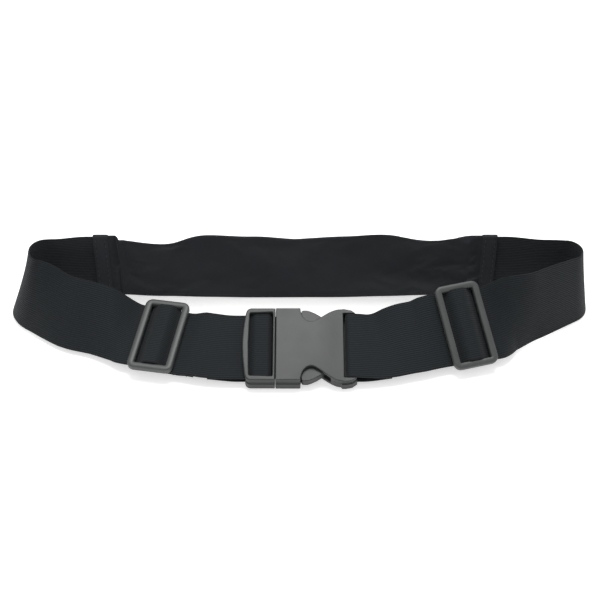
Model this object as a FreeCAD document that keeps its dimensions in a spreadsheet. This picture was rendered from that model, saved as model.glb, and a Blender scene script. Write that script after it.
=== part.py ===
import FreeCAD, Part
import math
import os

import Sketcher
from FreeCAD import Matrix, Placement, Rotation, Vector

# A money belt lying closed on a table, in millimetres. +Z is up, +X runs to the wearer's
# right end of the pouch, and -Y is the buckle's side. The origin is on the table, under the
# middle of the belt's box.

SIZES = {
    # webbing
    "webbing_width": 50.0,
    "webbing_thick": 1.2,
    "layer_gap": 0.2,
    "moving_gap": 0.3,
    # plan of the loop: the buckle lies on the front line, the pouch on the rear line
    "front_line": -24.0,
    "rear_line": 44.0,
    "right_knee": 50.0,
    "right_bend": 146.6,
    "right_bend_in": 21.6,
    "right_corner": 222.9,
    "right_tip_radius": 12.5,
    "left_knee": 52.4,
    "left_bend": 150.4,
    "left_bend_in": 26.0,
    "left_corner": 234.4,
    "left_tip_radius": 15.0,
    "knee_radius": 80.0,
    "bend_radius": 90.0,
    # pouch
    "pouch_right": 132.6,
    "pouch_left": 138.4,
    "pouch_margin": 2.0,
    "pouch_bow": 2.0,
    "pouch_flat_end": 16.5,
    "fabric_thick": 1.0,
    "seam_overlap": 15.0,
    "hem_width": 10.0,
    "hem_thick": 0.6,
    # zip
    "zip_height": 35.0,
    "zip_out": 2.4,
    "zip_end_margin": 22.0,
    "zip_slot": 8.0,
    "tape_width": 10.0,
    "tape_thick": 0.5,
    "coil_height": 2.0,
    "coil_thick": 1.5,
    "coil_end_room": 3.0,
    "stop_length": 2.0,
    "slider_length": 9.0,
    "slider_height": 7.0,
    "plate_thick": 1.2,
    "flange_thick": 0.9,
    "bridge_length": 6.0,
    "bridge_width": 2.4,
    "bridge_post": 1.2,
    "bridge_thick": 1.0,
    "pull_length": 28.0,
    "pull_width": 6.0,
    "pull_thick": 1.2,
    "pull_eye": 6.0,
    "pull_cheek": 1.4,
    # three-bar glides
    "glide_length": 30.0,
    "glide_width": 57.0,
    "glide_rail": 4.4,
    "glide_bar": 5.0,
    "glide_bar_thick": 1.8,
    "glide_thick": 4.6,
    "glide_corner": 4.0,
    "right_glide_at": 109.5,
    "left_glide_at": 93.2,
    "tail_length": 30.0,
    "hold_at_buckle": 44.0,
    # side-release buckle, measured from the middle of the webbing on the front line
    "buckle_width": 55.0,
    "buckle_thick": 11.0,
    "mouth_at": -15.5,
    "socket_wall": 2.6,
    "buckle_floor": 1.5,
    "socket_back": 26.0,
    "socket_back_wall": 2.9,
    "socket_end": 37.5,
    "window_start": 0.5,
    "window_depth": 10.5,
    "window_end": 26.0,
    "buckle_side": 3.0,
    "anchor_bar_thick": 4.0,
    "anchor_bar_at": 31.2,
    "anchor_bar_wide": 5.0,
    "clip_end": -36.5,
    "clip_rail": 3.7,
    "clip_bar_at": -29.4,
    "clip_bar_wide": 10.0,
    "clip_collar": 1.6,
    "guide_length": 28.0,
    "guide_width": 8.0,
    "guide_thick": 5.0,
    "arm_thick": 5.6,
    "arm_root": 16.0,
}

# How the webbing stands along each half of the loop, from the buckle to the pouch:
# share of the way, height of its lower edge, lean towards the wearer, slant along the loop.
RIGHT_LIE = [
    (0.0, 6.1, 74.0, 0.0), (0.205, 6.0, 64.0, 0.0), (0.39, 5.5, 56.0, -3.0),
    (0.563, 1.2, 14.0, 2.0), (0.711, 0.2, 9.0, -6.0), (0.845, 0.3, 5.0, -4.0),
    (0.93, 1.0, 0.0, 0.0), (1.0, 1.0, 0.0, 0.0),
]
LEFT_LIE = [
    (0.0, 6.1, 74.0, 0.0), (0.205, 6.2, 75.0, 0.0), (0.35, 5.9, 79.0, 4.0),
    (0.563, 2.6, 44.0, 18.0), (0.711, 1.5, 21.0, -5.0), (0.845, 0.3, 4.0, 0.0),
    (0.93, 1.0, 0.0, 0.0), (1.0, 1.0, 0.0, 0.0),
]

# The pouch from its left end to its right end: share of its length, share of the full bow
# towards the wearer at its lower seam, step of its upper seam away from the wearer, its rise.
POUCH_LIE = [
    (0.07, 0.10, -1.5, -2.6), (0.17, 0.36, -2.5, -3.2), (0.29, 0.74, 0.5, 0.8),
    (0.40, 0.96, 0.0, -0.4), (0.51, 1.00, -0.5, -1.4), (0.63, 0.98, 0.0, -0.4),
    (0.73, 0.82, 0.8, 0.8), (0.84, 0.46, -1.0, -2.2), (0.93, 0.14, 0.0, -0.2),
]

document = FreeCAD.newDocument("MoneyBelt")
sheet = document.addObject("Spreadsheet::Sheet", "Sizes")
for row, (alias, value) in enumerate(SIZES.items(), start=1):
    sheet.set(f"A{row}", alias)
    sheet.set(f"B{row}", repr(value))
    sheet.setAlias(f"B{row}", alias)
document.recompute()

UP = Vector(0, 0, 1)
NODES = []


def size(alias):
    return float(sheet.get(alias))


def node(thing, label):
    thing.Label = label
    NODES.append(thing)
    return thing


def shaped(label, shape):
    """A soft piece whose form is lofted from the sheet's sizes."""
    feature = document.addObject("Part::Feature", label)
    feature.Shape = shape
    feature.Placement = Placement()
    return node(feature, label)


def smooth(share):
    return share * share * (3 - 2 * share)


def between(rows, share):
    """The row of a lie table at a share of the way, eased from row to row."""
    for low, high in zip(rows, rows[1:]):
        if share <= high[0]:
            part = smooth(max(0.0, (share - low[0]) / (high[0] - low[0])))
            return [a + (b - a) * part for a, b in zip(low[1:], high[1:])]
    return list(rows[-1][1:])


def skin(sections):
    """A solid through four-cornered sections, with straight-ruled sides between them."""
    faces = [Part.Face(Part.makePolygon(end + end[:1])) for end in (sections[0], sections[-1])]
    for here, following in zip(sections, sections[1:]):
        for index in range(4):
            side = Part.BSplineSurface()
            poles = [[here[index], here[index - 1]], [following[index], following[index - 1]]]
            side.buildFromPolesMultsKnots(poles, [2, 2], [2, 2], [0, 1], [0, 1],
                                          False, False, 1, 1)
            faces.append(side.toShape())
    shell = Part.Shell(faces)
    shell.sewShape()
    solid = Part.Solid(shell)
    if solid.Volume < 0:
        solid.reverse()
    return solid


class Half:
    """One half of the loop: a plan line of straight runs and round bends, with the webbing's
    lie along it. The left half is worked out on the right and mirrored."""

    def __init__(self, corners, lie, side, glide_at):
        self.lie = lie
        self.side = side
        self.holds = [(glide_at, size("glide_length") / 2 + 1.0), (0.0, size("hold_at_buckle"))]
        self.pieces = []
        start = corners[0][0]
        for (before, _), (corner, radius), (after, _) in zip(corners, corners[1:], corners[2:]):
            into = (corner - before).normalize()
            out = (after - corner).normalize()
            turn = math.atan2(into.cross(out).z, into.dot(out))
            reach = radius * math.tan(turn / 2)
            heading = math.atan2(into.y, into.x)
            first = corner - into * reach
            self.pieces.append((start, (first - start).Length, heading, 0.0))
            self.pieces.append((first, radius * turn, heading, 1 / radius))
            start = corner + out * reach
        final = corners[-1][0] - start
        self.pieces.append((start, final.Length, math.atan2(final.y, final.x), 0.0))
        self.length = sum(piece[1] for piece in self.pieces)

    def plan(self, distance):
        """Point and heading on the plan line at a distance from the buckle's middle."""
        for start, length, heading, curve in self.pieces:
            if distance <= length or (start, length, heading, curve) == self.pieces[-1]:
                break
            distance -= length
        if not curve:
            return start + Vector(math.cos(heading), math.sin(heading), 0) * distance, heading
        turned = heading + distance * curve
        centre = start + Vector(-math.sin(heading), math.cos(heading), 0) / curve
        return centre + Vector(math.sin(turned), -math.cos(turned), 0) / curve, turned

    def flattened(self, distance):
        """The distance at which the lie is read: it stands still under a rigid piece, and
        catches up over the same length beyond it."""
        for middle, reach in self.holds:
            off = distance - middle
            if abs(off) < 2 * reach:
                distance = middle + math.copysign(2 * max(0.0, abs(off) - reach), off)
        return distance

    def frame(self, distance):
        """Middle of the webbing, and its directions: along, across (up) and outwards."""
        point, heading = self.plan(distance)
        edge, lean, slant = between(self.lie, self.flattened(distance) / self.length)
        lean, slant = math.radians(lean), math.radians(slant)
        along = Vector(math.cos(heading), math.sin(heading), 0)
        inwards = Vector(-math.sin(heading), math.cos(heading), 0)
        across = ((UP * math.cos(lean) + inwards * math.sin(lean)) * math.cos(slant)
                  + along * math.sin(slant))
        outwards = along.cross(across).normalize()
        along = across.cross(outwards)
        point = point + UP * (edge + size("webbing_width") / 2 * across.z)
        if self.side < 0:
            flip = Matrix(-1, 0, 0, 0, 0, 1, 0, 0, 0, 0, 1, 0, 0, 0, 0, 1)
            point, along, across, outwards = (
                flip.multVec(v) for v in (point, along, across, outwards))
        return point, along, across, outwards

    def placement(self, distance):
        """Where a rigid piece on the webbing sits: its x along the loop (+X at the front),
        y across the webbing, z outwards."""
        point, along, across, outwards = self.frame(distance)
        along = along * self.side
        turn = Rotation(along, across, outwards, "ZXY")
        return Placement(point, turn)

    def ribbon(self, stations, width):
        """Webbing through stations of distance, height off the middle layer and roll."""
        sections = []
        for distance, height, roll in stations:
            point, along, across, outwards = self.frame(distance)
            through = outwards * math.cos(roll) - along * math.sin(roll)
            centre = point + outwards * height
            reach = across * (width(distance) / 2)
            depth = through * (size("webbing_thick") / 2)
            sections.append([centre - reach - depth, centre + reach - depth,
                             centre + reach + depth, centre - reach + depth])
        return skin(sections)


front = size("front_line")
rear = size("rear_line")
seam = size("seam_overlap")
right = Half([
    (Vector(0, front, 0), 0),
    (Vector(size("right_knee"), front, 0), size("knee_radius")),
    (Vector(size("right_bend"), front + size("right_bend_in"), 0), size("bend_radius")),
    (Vector(size("right_corner"), rear, 0), size("right_tip_radius")),
    (Vector(size("pouch_right") - seam, rear, 0), 0),
], RIGHT_LIE, 1, size("right_glide_at"))
left = Half([
    (Vector(0, front, 0), 0),
    (Vector(size("left_knee"), front, 0), size("knee_radius")),
    (Vector(size("left_bend"), front + size("left_bend_in"), 0), size("bend_radius")),
    (Vector(size("left_corner"), rear, 0), size("left_tip_radius")),
    (Vector(size("pouch_left") - seam, rear, 0), 0),
], LEFT_LIE, -1, size("left_glide_at"))

# ---------------------------------------------------------------- drawing helpers


def coordinate(sketch, expression):
    return float(sketch.evalExpression(expression))


def sketch_on(body, role, name, offset="0"):
    """An empty sketch on one of the body's own planes, moved along the plane's normal."""
    plane = next(f for f in body.Origin.OriginFeatures if f.Role == role)
    sketch = body.newObject("Sketcher::SketchObject", name)
    sketch.AttachmentSupport = [(plane, "")]
    sketch.MapMode = "FlatFace"
    sketch.setExpression("AttachmentOffset.Base.z", offset)
    return sketch


def outline(sketch, corners):
    """A closed outline whose corners are held by expressions on the sheet."""
    points = [Vector(coordinate(sketch, x), coordinate(sketch, y), 0) for x, y in corners]
    first = sketch.GeometryCount
    count = len(points)
    for index in range(count):
        sketch.addGeometry(Part.LineSegment(points[index], points[(index + 1) % count]), False)
    for index in range(count):
        here, following = first + index, first + (index + 1) % count
        sketch.addConstraint(Sketcher.Constraint("Coincident", here, 2, following, 1))
    for index, (point, (x, y)) in enumerate(zip(points, corners)):
        for axis, value, expression in (("X", point.x, x), ("Y", point.y, y)):
            held = sketch.addConstraint(
                Sketcher.Constraint("Distance" + axis, -1, 1, first + index, 1, value))
            name = f"corner{first + index}{axis}"
            sketch.renameConstraint(held, name)
            sketch.setExpression(f".Constraints.{name}", expression)
    return sketch


def box_outline(sketch, low_x, low_y, high_x, high_y):
    return outline(sketch, [(low_x, low_y), (high_x, low_y), (high_x, high_y), (low_x, high_y)])


def pad(body, sketch, name, thickness, midplane=True):
    feature = body.newObject("PartDesign::Pad", name)
    feature.Profile = sketch
    feature.Midplane = midplane
    feature.setExpression("Length", thickness)
    return feature


def pocket(body, sketch, name, depth, midplane=True, reverse=False):
    feature = body.newObject("PartDesign::Pocket", name)
    feature.Profile = sketch
    feature.Midplane = midplane
    feature.Reversed = reverse
    feature.setExpression("Length", depth)
    document.recompute()
    return feature


def fillet(body, base, edges, radius):
    """Rounds the edges of the base feature that the test picks."""
    document.recompute()
    names = [f"Edge{i}" for i, edge in enumerate(base.Shape.Edges, start=1) if edges(edge)]
    feature = body.newObject("PartDesign::Fillet", base.Name + "Fillet")
    feature.Base = (base, names)
    feature.setExpression("Radius", radius)
    document.recompute()
    return feature


def is_along_z(edge):
    return edge.Curve.TypeId == "Part::GeomLine" and abs(edge.tangentAt(0).z) > 0.999


def prism(label, x_size, y_size, z_size, x_place, y_place, z_place):
    """A plain block of the sheet's sizes, placed by its lowest corner."""
    block = document.addObject("Part::Box", label)
    for property_name, expression in (("Length", x_size), ("Width", y_size), ("Height", z_size),
                                      ("Placement.Base.x", x_place),
                                      ("Placement.Base.y", y_place),
                                      ("Placement.Base.z", z_place)):
        block.setExpression(property_name, expression)
    return block


# ---------------------------------------------------------------- webbing

thick = size("webbing_thick")
pouch_height = size("webbing_width") + size("pouch_margin")
OUTER = thick / 2
INNER = -thick / 2 - size("layer_gap")
TAIL = INNER - thick - size("moving_gap")
bar_radius = size("anchor_bar_thick") / 2
WRAP = bar_radius + size("moving_gap") + thick / 2
NECK_RUN = 6.0
SETTLE = 18.0
STEP = (size("glide_length") / 2 + 1.0) / 2
# Where the tail is sewn, as shares of its length.
SEWN_ROWS = (0.35, 0.5, 0.85)


def webbing_width(distance):
    """Full width, a little drawn in where it enters the buckle."""
    neck = size("buckle_width") - 2 * size("buckle_side") - 2 * size("layer_gap")
    part = smooth(min(1.0, max(0.0, (distance - size("socket_end") - NECK_RUN) / SETTLE)))
    return min(neck, size("webbing_width")) * (1 - part) + size("webbing_width") * part


def run(half, start, end, height):
    """Flat stations from one distance to another. All layers of a half share one spacing,
    counted from its glide, so that they stay parallel where the webbing twists."""
    low, high = min(start, end), max(start, end)
    glide_at = half.holds[0][0]
    sewn = [glide_at - size("tail_length") * share for share in SEWN_ROWS + (1.0,)]
    even = [glide_at % STEP + index * STEP for index in range(int(half.length / STEP) + 1)]
    shared = sewn + [place for place in even if min(abs(place - row) for row in sewn) > 1]
    places = [low] + [place for place in sorted(shared) if low + 1 < place < high - 1] + [high]
    if start > end:
        places.reverse()
    return [(place, height, 0.0) for place in places]


def wrap(bar_middle, settled):
    """Stations round an anchor bar: over it, round its inner side and back under it."""
    stations = []
    for index in range(7):
        roll = math.pi * index / 6
        stations.append((bar_middle - WRAP * math.sin(roll), WRAP * math.cos(roll), roll))
    under = [(settled - SETTLE * 0.6, -WRAP, math.pi), (settled, INNER, math.pi)]
    return stations + under


def outer_webbing(half, far_end, over_bar, bar_middle, rises):
    """From its far end to the anchor bar, round the bar and back to the inner layer."""
    settled = size("socket_end") + SETTLE
    stations = run(half, far_end, settled, OUTER) + rises
    stations.append((over_bar, WRAP, 0.0))
    return half.ribbon(stations + wrap(bar_middle, settled), webbing_width)


socket_bar = size("anchor_bar_at") + bar_radius
clip_bar_far = -size("clip_bar_at")
clip_bar = -size("clip_bar_at") - size("clip_bar_wide") + bar_radius
rail_inside = -size("clip_end") - size("clip_rail")
left_split = size("left_glide_at") + size("glide_length") * 1.5

shaped("strap_right", outer_webbing(
    right, right.length, size("anchor_bar_at") + size("anchor_bar_wide") - OUTER, socket_bar,
    [(size("socket_end") + NECK_RUN, OUTER + 0.4 * (WRAP - OUTER), 0.0)]))
shaped("strap_left_front", outer_webbing(
    left, left_split, clip_bar_far, clip_bar,
    [(-size("clip_end") + 4.0, OUTER, 0.0), (rail_inside + 0.4, OUTER, 0.0)]))
shaped("strap_left_rear", left.ribbon(
    run(left, left_split + size("layer_gap"), left.length, OUTER), webbing_width))

for half, name, glide_at in ((right, "right", size("right_glide_at")),
                             (left, "left", size("left_glide_at"))):
    settled = size("socket_end") + SETTLE + size("layer_gap")
    shaped(f"strap_{name}_return",
           half.ribbon(run(half, settled, glide_at, INNER), webbing_width))

# ---------------------------------------------------------------- three-bar glides

# Layers through a glide, counted outwards from the inner face of the outer webbing.
glide_floor = thick + size("moving_gap")
bar_low = glide_floor + thick + size("layer_gap") / 2
bar_high = bar_low + size("glide_bar_thick")
loop_high = bar_high + size("layer_gap") / 2 + thick
hump_low = loop_high + size("layer_gap")


def glide(name, half, distance):
    """One moulding: a rounded frame with two slots and a thinner bar across its middle."""
    body = document.addObject("PartDesign::Body", f"Glide{name}")
    half_length, half_width = "Sizes.glide_length / 2", "Sizes.glide_width / 2"
    frame_sketch = sketch_on(body, "XY_Plane", f"GlideFrame{name}", repr(glide_floor))
    box_outline(frame_sketch, f"-{half_length}", f"-{half_width}", half_length, half_width)
    frame_pad = pad(body, frame_sketch, f"GlidePad{name}", "Sizes.glide_thick", False)
    rounded = fillet(body, frame_pad, is_along_z, "Sizes.glide_corner")
    edges_rounded = fillet(body, rounded, lambda e: not is_along_z(e),
                           "Sizes.glide_rail * 0.3")
    slot_end = "Sizes.webbing_width / 2 + 3 * Sizes.layer_gap"
    bar_side, rail_side = "Sizes.glide_bar / 2", "(Sizes.glide_length / 2 - Sizes.glide_rail)"
    slots = sketch_on(body, "XY_Plane", f"GlideSlots{name}", repr(glide_floor))
    for low, high in ((f"-{rail_side}", f"-{bar_side}"), (bar_side, rail_side)):
        box_outline(slots, low, f"-({slot_end})", high, slot_end)
    pocket(body, slots, f"GlideSlotPocket{name}", "Sizes.glide_thick * 3")
    for side, base, depth in (("Under", glide_floor, bar_low - glide_floor),
                              ("Over", bar_high, glide_floor + size("glide_thick") - bar_high)):
        relief = sketch_on(body, "XY_Plane", f"Glide{side}{name}", repr(base))
        box_outline(relief, f"-{bar_side} - 1", f"-({slot_end})", f"{bar_side} + 1", slot_end)
        pocket(body, relief, f"Glide{side}Pocket{name}", repr(depth), False, True)
    body.Placement = half.placement(distance)
    return body


def bar_loop():
    """The sewn loop of webbing closed round the glide's middle bar."""
    inside = Part.makeBox(size("glide_bar") + size("layer_gap"), size("webbing_width"),
                          bar_high - bar_low + size("layer_gap"),
                          Vector(-size("glide_bar") / 2 - size("layer_gap") / 2,
                                 -size("webbing_width") / 2, bar_low - size("layer_gap") / 2))
    width = inside.BoundBox.XLength + 2 * thick
    height = inside.BoundBox.ZLength + 2 * thick
    outside = Part.makeBox(width, size("webbing_width"), height,
                           Vector(-width / 2, -size("webbing_width") / 2, glide_floor))
    long_edges = [e for e in outside.Edges if abs(e.tangentAt(0).y) > 0.999]
    return outside.makeFillet(thick, long_edges).cut(inside)


def hump():
    """The strap where it climbs over the bar, between the glide's two slots."""
    foot = size("glide_length") / 2 - size("glide_rail") - thick
    crest = size("glide_bar") / 2 + thick
    low = glide_floor + thick / 2
    high = hump_low + thick / 2
    slope = math.atan2(high - low, foot - crest)
    profile = [(-foot, low, -slope / 2), (-crest - 0.8, high - 0.9, -slope),
               (-crest + 0.8, high, -slope / 4), (0.0, high, 0.0),
               (crest - 0.8, high, slope / 4), (crest + 0.8, high - 0.9, slope),
               (foot, low, slope / 2)]
    sections = []
    for x, z, tilt in profile:
        normal = Vector(math.sin(tilt), 0, math.cos(tilt)) * (thick / 2)
        reach = Vector(0, size("webbing_width") / 2, 0)
        middle = Vector(x, 0, z)
        sections.append([middle - reach - normal, middle + reach - normal,
                         middle + reach + normal, middle - reach + normal])
    return skin(sections)


STITCH = 2.6
STITCH_GAP = 1.5
THREAD = 0.45


def stitch_line(start, direction, across, outwards, length):
    """A row of stitches lying on a surface."""
    count = int(length // (STITCH + STITCH_GAP))
    margin = (length - count * (STITCH + STITCH_GAP) + STITCH_GAP) / 2
    stitches = []
    for index in range(count):
        corner = start + direction * (margin + index * (STITCH + STITCH_GAP))
        corners = [corner, corner + direction * STITCH,
                   corner + direction * STITCH + across * THREAD, corner + across * THREAD]
        face = Part.Face(Part.makePolygon(corners + corners[:1]))
        stitches.append(face.extrude(outwards * THREAD))
    return stitches


def tail_stitches(half, glide_at):
    """Three rows across the webbing that sew the tail to the inner layer."""
    rows = []
    for share in SEWN_ROWS:
        point, along, across, outwards = half.frame(glide_at - size("tail_length") * share)
        start = (point + outwards * (TAIL - thick / 2 - size("layer_gap"))
                 - across * (size("webbing_width") / 2))
        rows += stitch_line(start, across, along, outwards * -1, size("webbing_width"))
    return rows


for half, name, glide_at in ((right, "right", size("right_glide_at")),
                             (left, "left", size("left_glide_at"))):
    node(glide(name.title(), half, glide_at), f"tri_glide_{name}")
    place = half.placement(glide_at)
    for label, maker in ((f"strap_{name}_bar_loop", bar_loop), (f"strap_{name}_hump", hump)):
        piece = shaped(label, maker())
        piece.Placement = place
    # The end of the webbing, folded back towards the buckle and sewn to the inner layer.
    shaped(f"strap_{name}_tail",
           half.ribbon(run(half, glide_at, glide_at - size("tail_length"), TAIL),
                       webbing_width))
    shaped(f"tail_stitching_{name}", Part.makeCompound(tail_stitches(half, glide_at)))

# ---------------------------------------------------------------- buckle

half_width = "Sizes.buckle_width / 2"
inside_width = "(Sizes.buckle_width / 2 - Sizes.buckle_side)"
bar_end = "(Sizes.anchor_bar_at + Sizes.anchor_bar_wide)"
front_place = right.placement(0.0)


def buckle_socket():
    """The half that takes the clip: a flat hollow box, cut away at both sides for fingers,
    with the anchor bar for the right strap across its end."""
    body = document.addObject("PartDesign::Body", "Socket")
    shell = sketch_on(body, "XY_Plane", "SocketOutline")
    box_outline(shell, "Sizes.mouth_at", f"-{half_width}", "Sizes.socket_end", half_width)
    shell_pad = pad(body, shell, "SocketPad", "Sizes.buckle_thick")
    corners = fillet(body, shell_pad,
                     lambda e: is_along_z(e) and e.BoundBox.Center.x > 0, "Sizes.buckle_side")
    edges = fillet(body, corners, lambda e: abs(e.BoundBox.Center.y) > 1.0
                   and not is_along_z(e) and e.BoundBox.Center.x > size("mouth_at") + 0.1,
                   "Sizes.socket_wall * 0.8")
    finger = sketch_on(body, "XY_Plane", "SocketFingers")
    for sign in ("", "-"):
        outline(finger, [
            ("Sizes.window_start", f"{sign}(Sizes.buckle_width)"),
            ("Sizes.window_start", f"{sign}({half_width} - Sizes.window_depth * 0.72)"),
            ("Sizes.window_start + 4", f"{sign}({half_width} - Sizes.window_depth)"),
            ("Sizes.window_start + 9", f"{sign}({half_width} - Sizes.window_depth)"),
            ("Sizes.window_end - 7", f"{sign}({half_width} - Sizes.window_depth * 0.52)"),
            ("Sizes.window_end - 1", f"{sign}({half_width} - Sizes.window_depth * 0.1)"),
            ("Sizes.window_end", f"{sign}({half_width})"),
            ("Sizes.window_end", f"{sign}(Sizes.buckle_width)"),
        ])
    pocket(body, finger, "SocketFingerPocket", "Sizes.buckle_thick * 2")
    cavity = sketch_on(body, "XY_Plane", "SocketCavity")
    box_outline(cavity, "Sizes.mouth_at - 1", f"-{inside_width}",
                "Sizes.socket_back", inside_width)
    pocket(body, cavity, "SocketCavityPocket", "Sizes.buckle_thick - 2 * Sizes.socket_wall")
    floor = "Sizes.buckle_floor - Sizes.buckle_thick / 2"
    slot = sketch_on(body, "XY_Plane", "SocketSlot", floor)
    box_outline(slot, "Sizes.socket_back + Sizes.socket_back_wall", f"-{inside_width}",
                "Sizes.anchor_bar_at", inside_width)
    pocket(body, slot, "SocketSlotPocket", "Sizes.buckle_thick", False, True)
    under_bar = "Sizes.buckle_thick / 2 - Sizes.anchor_bar_thick / 2 - Sizes.buckle_floor"
    for side, reverse, depth in (("Over", True, "Sizes.buckle_thick"),
                                 ("Under", False, under_bar)):
        sign = "" if reverse else "-"
        relief = sketch_on(body, "XY_Plane", f"SocketBar{side}",
                           f"{sign}Sizes.anchor_bar_thick / 2")
        box_outline(relief, "Sizes.anchor_bar_at - 1", f"-{inside_width}",
                    "Sizes.socket_end + 1", inside_width)
        pocket(body, relief, f"SocketBar{side}Pocket", depth, False, reverse)
    past = sketch_on(body, "XY_Plane", "SocketPastBar")
    box_outline(past, bar_end, f"-{inside_width}", "Sizes.socket_end + 1", inside_width)
    last = pocket(body, past, "SocketPastBarPocket", "Sizes.buckle_thick * 2")
    fillet(body, last, lambda e: abs(e.BoundBox.XMin - e.BoundBox.XMax) < 1e-6
           and abs(e.BoundBox.XMin - size("anchor_bar_at")) < 1e-6
           and e.BoundBox.YLength > size("webbing_width") * 0.8
           and e.BoundBox.ZLength < 1e-6, "Sizes.anchor_bar_thick * 0.49")
    body.Placement = front_place
    return body


def buckle_clip():
    """The half that plugs in: two sides, an end rail, the anchor bar for the left strap, a
    collar that meets the socket's mouth, and a central guide."""
    body = document.addObject("PartDesign::Body", "Clip")
    block = sketch_on(body, "XY_Plane", "ClipOutline")
    collar_face = "(Sizes.mouth_at - Sizes.layer_gap * 1.5)"
    box_outline(block, "Sizes.clip_end", f"-{half_width}", collar_face, half_width)
    block_pad = pad(body, block, "ClipPad", "Sizes.buckle_thick - 2 * Sizes.layer_gap")
    corners = fillet(body, block_pad,
                     lambda e: is_along_z(e) and e.BoundBox.Center.x < size("clip_end") + 1,
                     "Sizes.clip_rail * 0.9")
    fillet(body, corners, lambda e: not is_along_z(e)
           and e.BoundBox.Center.x < size("mouth_at") - 1.0, "Sizes.socket_wall * 0.7")
    window = sketch_on(body, "XY_Plane", "ClipWindow",
                       "Sizes.buckle_floor + Sizes.layer_gap - Sizes.buckle_thick / 2")
    box_outline(window, "Sizes.clip_end + Sizes.clip_rail", f"-{inside_width}",
                f"{collar_face} - Sizes.clip_collar", inside_width)
    pocket(body, window, "ClipWindowPocket", "Sizes.buckle_thick", False, True)
    under_rail = sketch_on(body, "XY_Plane", "ClipUnderRail",
                           "Sizes.webbing_thick + Sizes.moving_gap")
    box_outline(under_rail, "Sizes.clip_end - 1", f"-{inside_width}",
                "Sizes.clip_end + Sizes.clip_rail + 1", inside_width)
    pocket(body, under_rail, "ClipUnderRailPocket", "Sizes.buckle_thick", False, False)
    bar = sketch_on(body, "XY_Plane", "ClipBar")
    box_outline(bar, "Sizes.clip_bar_at", f"-{inside_width} - 1",
                "Sizes.clip_bar_at + Sizes.clip_bar_wide", f"{inside_width} + 1")
    bar_pad = pad(body, bar, "ClipBarPad", "Sizes.anchor_bar_thick")
    rounded = fillet(body, bar_pad, lambda e: abs(
        e.BoundBox.Center.x - size("clip_bar_at") - size("clip_bar_wide")) < 1e-6
        and e.BoundBox.YLength > size("webbing_width") * 0.8 and e.BoundBox.ZLength < 1e-6,
        "Sizes.anchor_bar_thick * 0.49")
    guide = sketch_on(body, "XY_Plane", "ClipGuide")
    outline(guide, [
        (f"{collar_face} - Sizes.clip_collar / 2", "-Sizes.guide_width / 2"),
        (f"{collar_face} + Sizes.guide_length - 4", "-Sizes.guide_width / 2"),
        (f"{collar_face} + Sizes.guide_length", "-Sizes.guide_width / 4"),
        (f"{collar_face} + Sizes.guide_length", "Sizes.guide_width / 4"),
        (f"{collar_face} + Sizes.guide_length - 4", "Sizes.guide_width / 2"),
        (f"{collar_face} - Sizes.clip_collar / 2", "Sizes.guide_width / 2"),
    ])
    pad(body, guide, "ClipGuidePad", "Sizes.guide_thick")
    body.Placement = front_place
    return body


def latch_arm(name, sign):
    """A springy arm of the clip. Its thick head fills the socket's side opening, and the
    step behind the head catches the socket until a finger presses the head in."""
    body = document.addObject("PartDesign::Body", f"Arm{name}")
    sketch = sketch_on(body, "XY_Plane", f"ArmOutline{name}")
    root = "(Sizes.mouth_at + Sizes.layer_gap)"
    inner, outer = "(Sizes.arm_root - 2)", "(Sizes.arm_root + 2)"
    wall = inside_width
    points = [
        (root, inner), (f"{root} + 18", f"{inner} + 1.5"),
        ("Sizes.window_end - 4", f"{wall} - 12.5"), ("Sizes.window_end - 2.5", f"{wall} - 10"),
        ("Sizes.window_end - 10", f"{wall} - 3.5"),
        ("Sizes.window_start + 10", f"{half_width} - 1.5"),
        ("Sizes.window_start + 6", f"{half_width} - 0.3"),
        ("Sizes.window_start + 2", f"{half_width} - 0.3"),
        ("Sizes.window_start + 0.4", f"{half_width} - 1.4"),
        ("Sizes.window_start + 0.4", f"{wall} - 2.2"),
        (f"{root} + 10", f"{outer} + 1.2"), (root, outer),
    ]
    corners = [(x, f"{sign}({y})") for x, y in points]
    outline(sketch, corners)
    arm = pad(body, sketch, f"ArmPad{name}", "Sizes.arm_thick")
    head = size("window_start") + 1.5
    fillet(body, arm, lambda e: is_along_z(e) and e.BoundBox.Center.x > head, "0.8")
    body.Placement = front_place
    return body


node(buckle_socket(), "buckle_socket")
node(buckle_clip(), "buckle_clip")
node(latch_arm("Upper", ""), "latch_arm_upper")
node(latch_arm("Lower", "-"), "latch_arm_lower")

# ---------------------------------------------------------------- pouch

pouch_low = -size("pouch_left")
pouch_high = size("pouch_right")
pouch_span = pouch_high - pouch_low
pocket_half = thick / 2 + size("layer_gap")
LIP = 0.9
seam_line = rear + thick / 2


def pouch_lie(x):
    """Lower seam, upper seam and height of the pouch at x."""
    share = (x - pouch_low) / pouch_span
    flat = size("pouch_flat_end") / pouch_span
    rows = [(0.0, 0.0, 0.0, 0.0), (flat, 0.0, 0.0, 0.0)] + POUCH_LIE
    rows += [(1 - flat, 0.0, 0.0, 0.0), (1.0, 0.0, 0.0, 0.0)]
    bow, step, rise = between(rows, share)
    return seam_line - size("pouch_bow") * bow, seam_line + step, pouch_height + rise


def bulge(x, outwards):
    """How far a panel swells from its seams at x: the inner one with the bow of the pouch,
    the outer one as far as the zip's line."""
    low, high, height = pouch_lie(x)
    if not outwards:
        return 0.3 + 0.3 * (seam_line - low)
    zip_share = size("zip_height") / height
    short = (seam_line + size("zip_out") - 2 * size("moving_gap") - pocket_half
             - (low + (high - low) * zip_share))
    ramp = min(x - pouch_low, pouch_high - x) - size("pouch_flat_end")
    ramp = min(1.0, max(0.0, ramp / size("zip_end_margin")))
    return 0.3 + ramp * max(0.0, short) / (4 * zip_share * (1 - zip_share))


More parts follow.
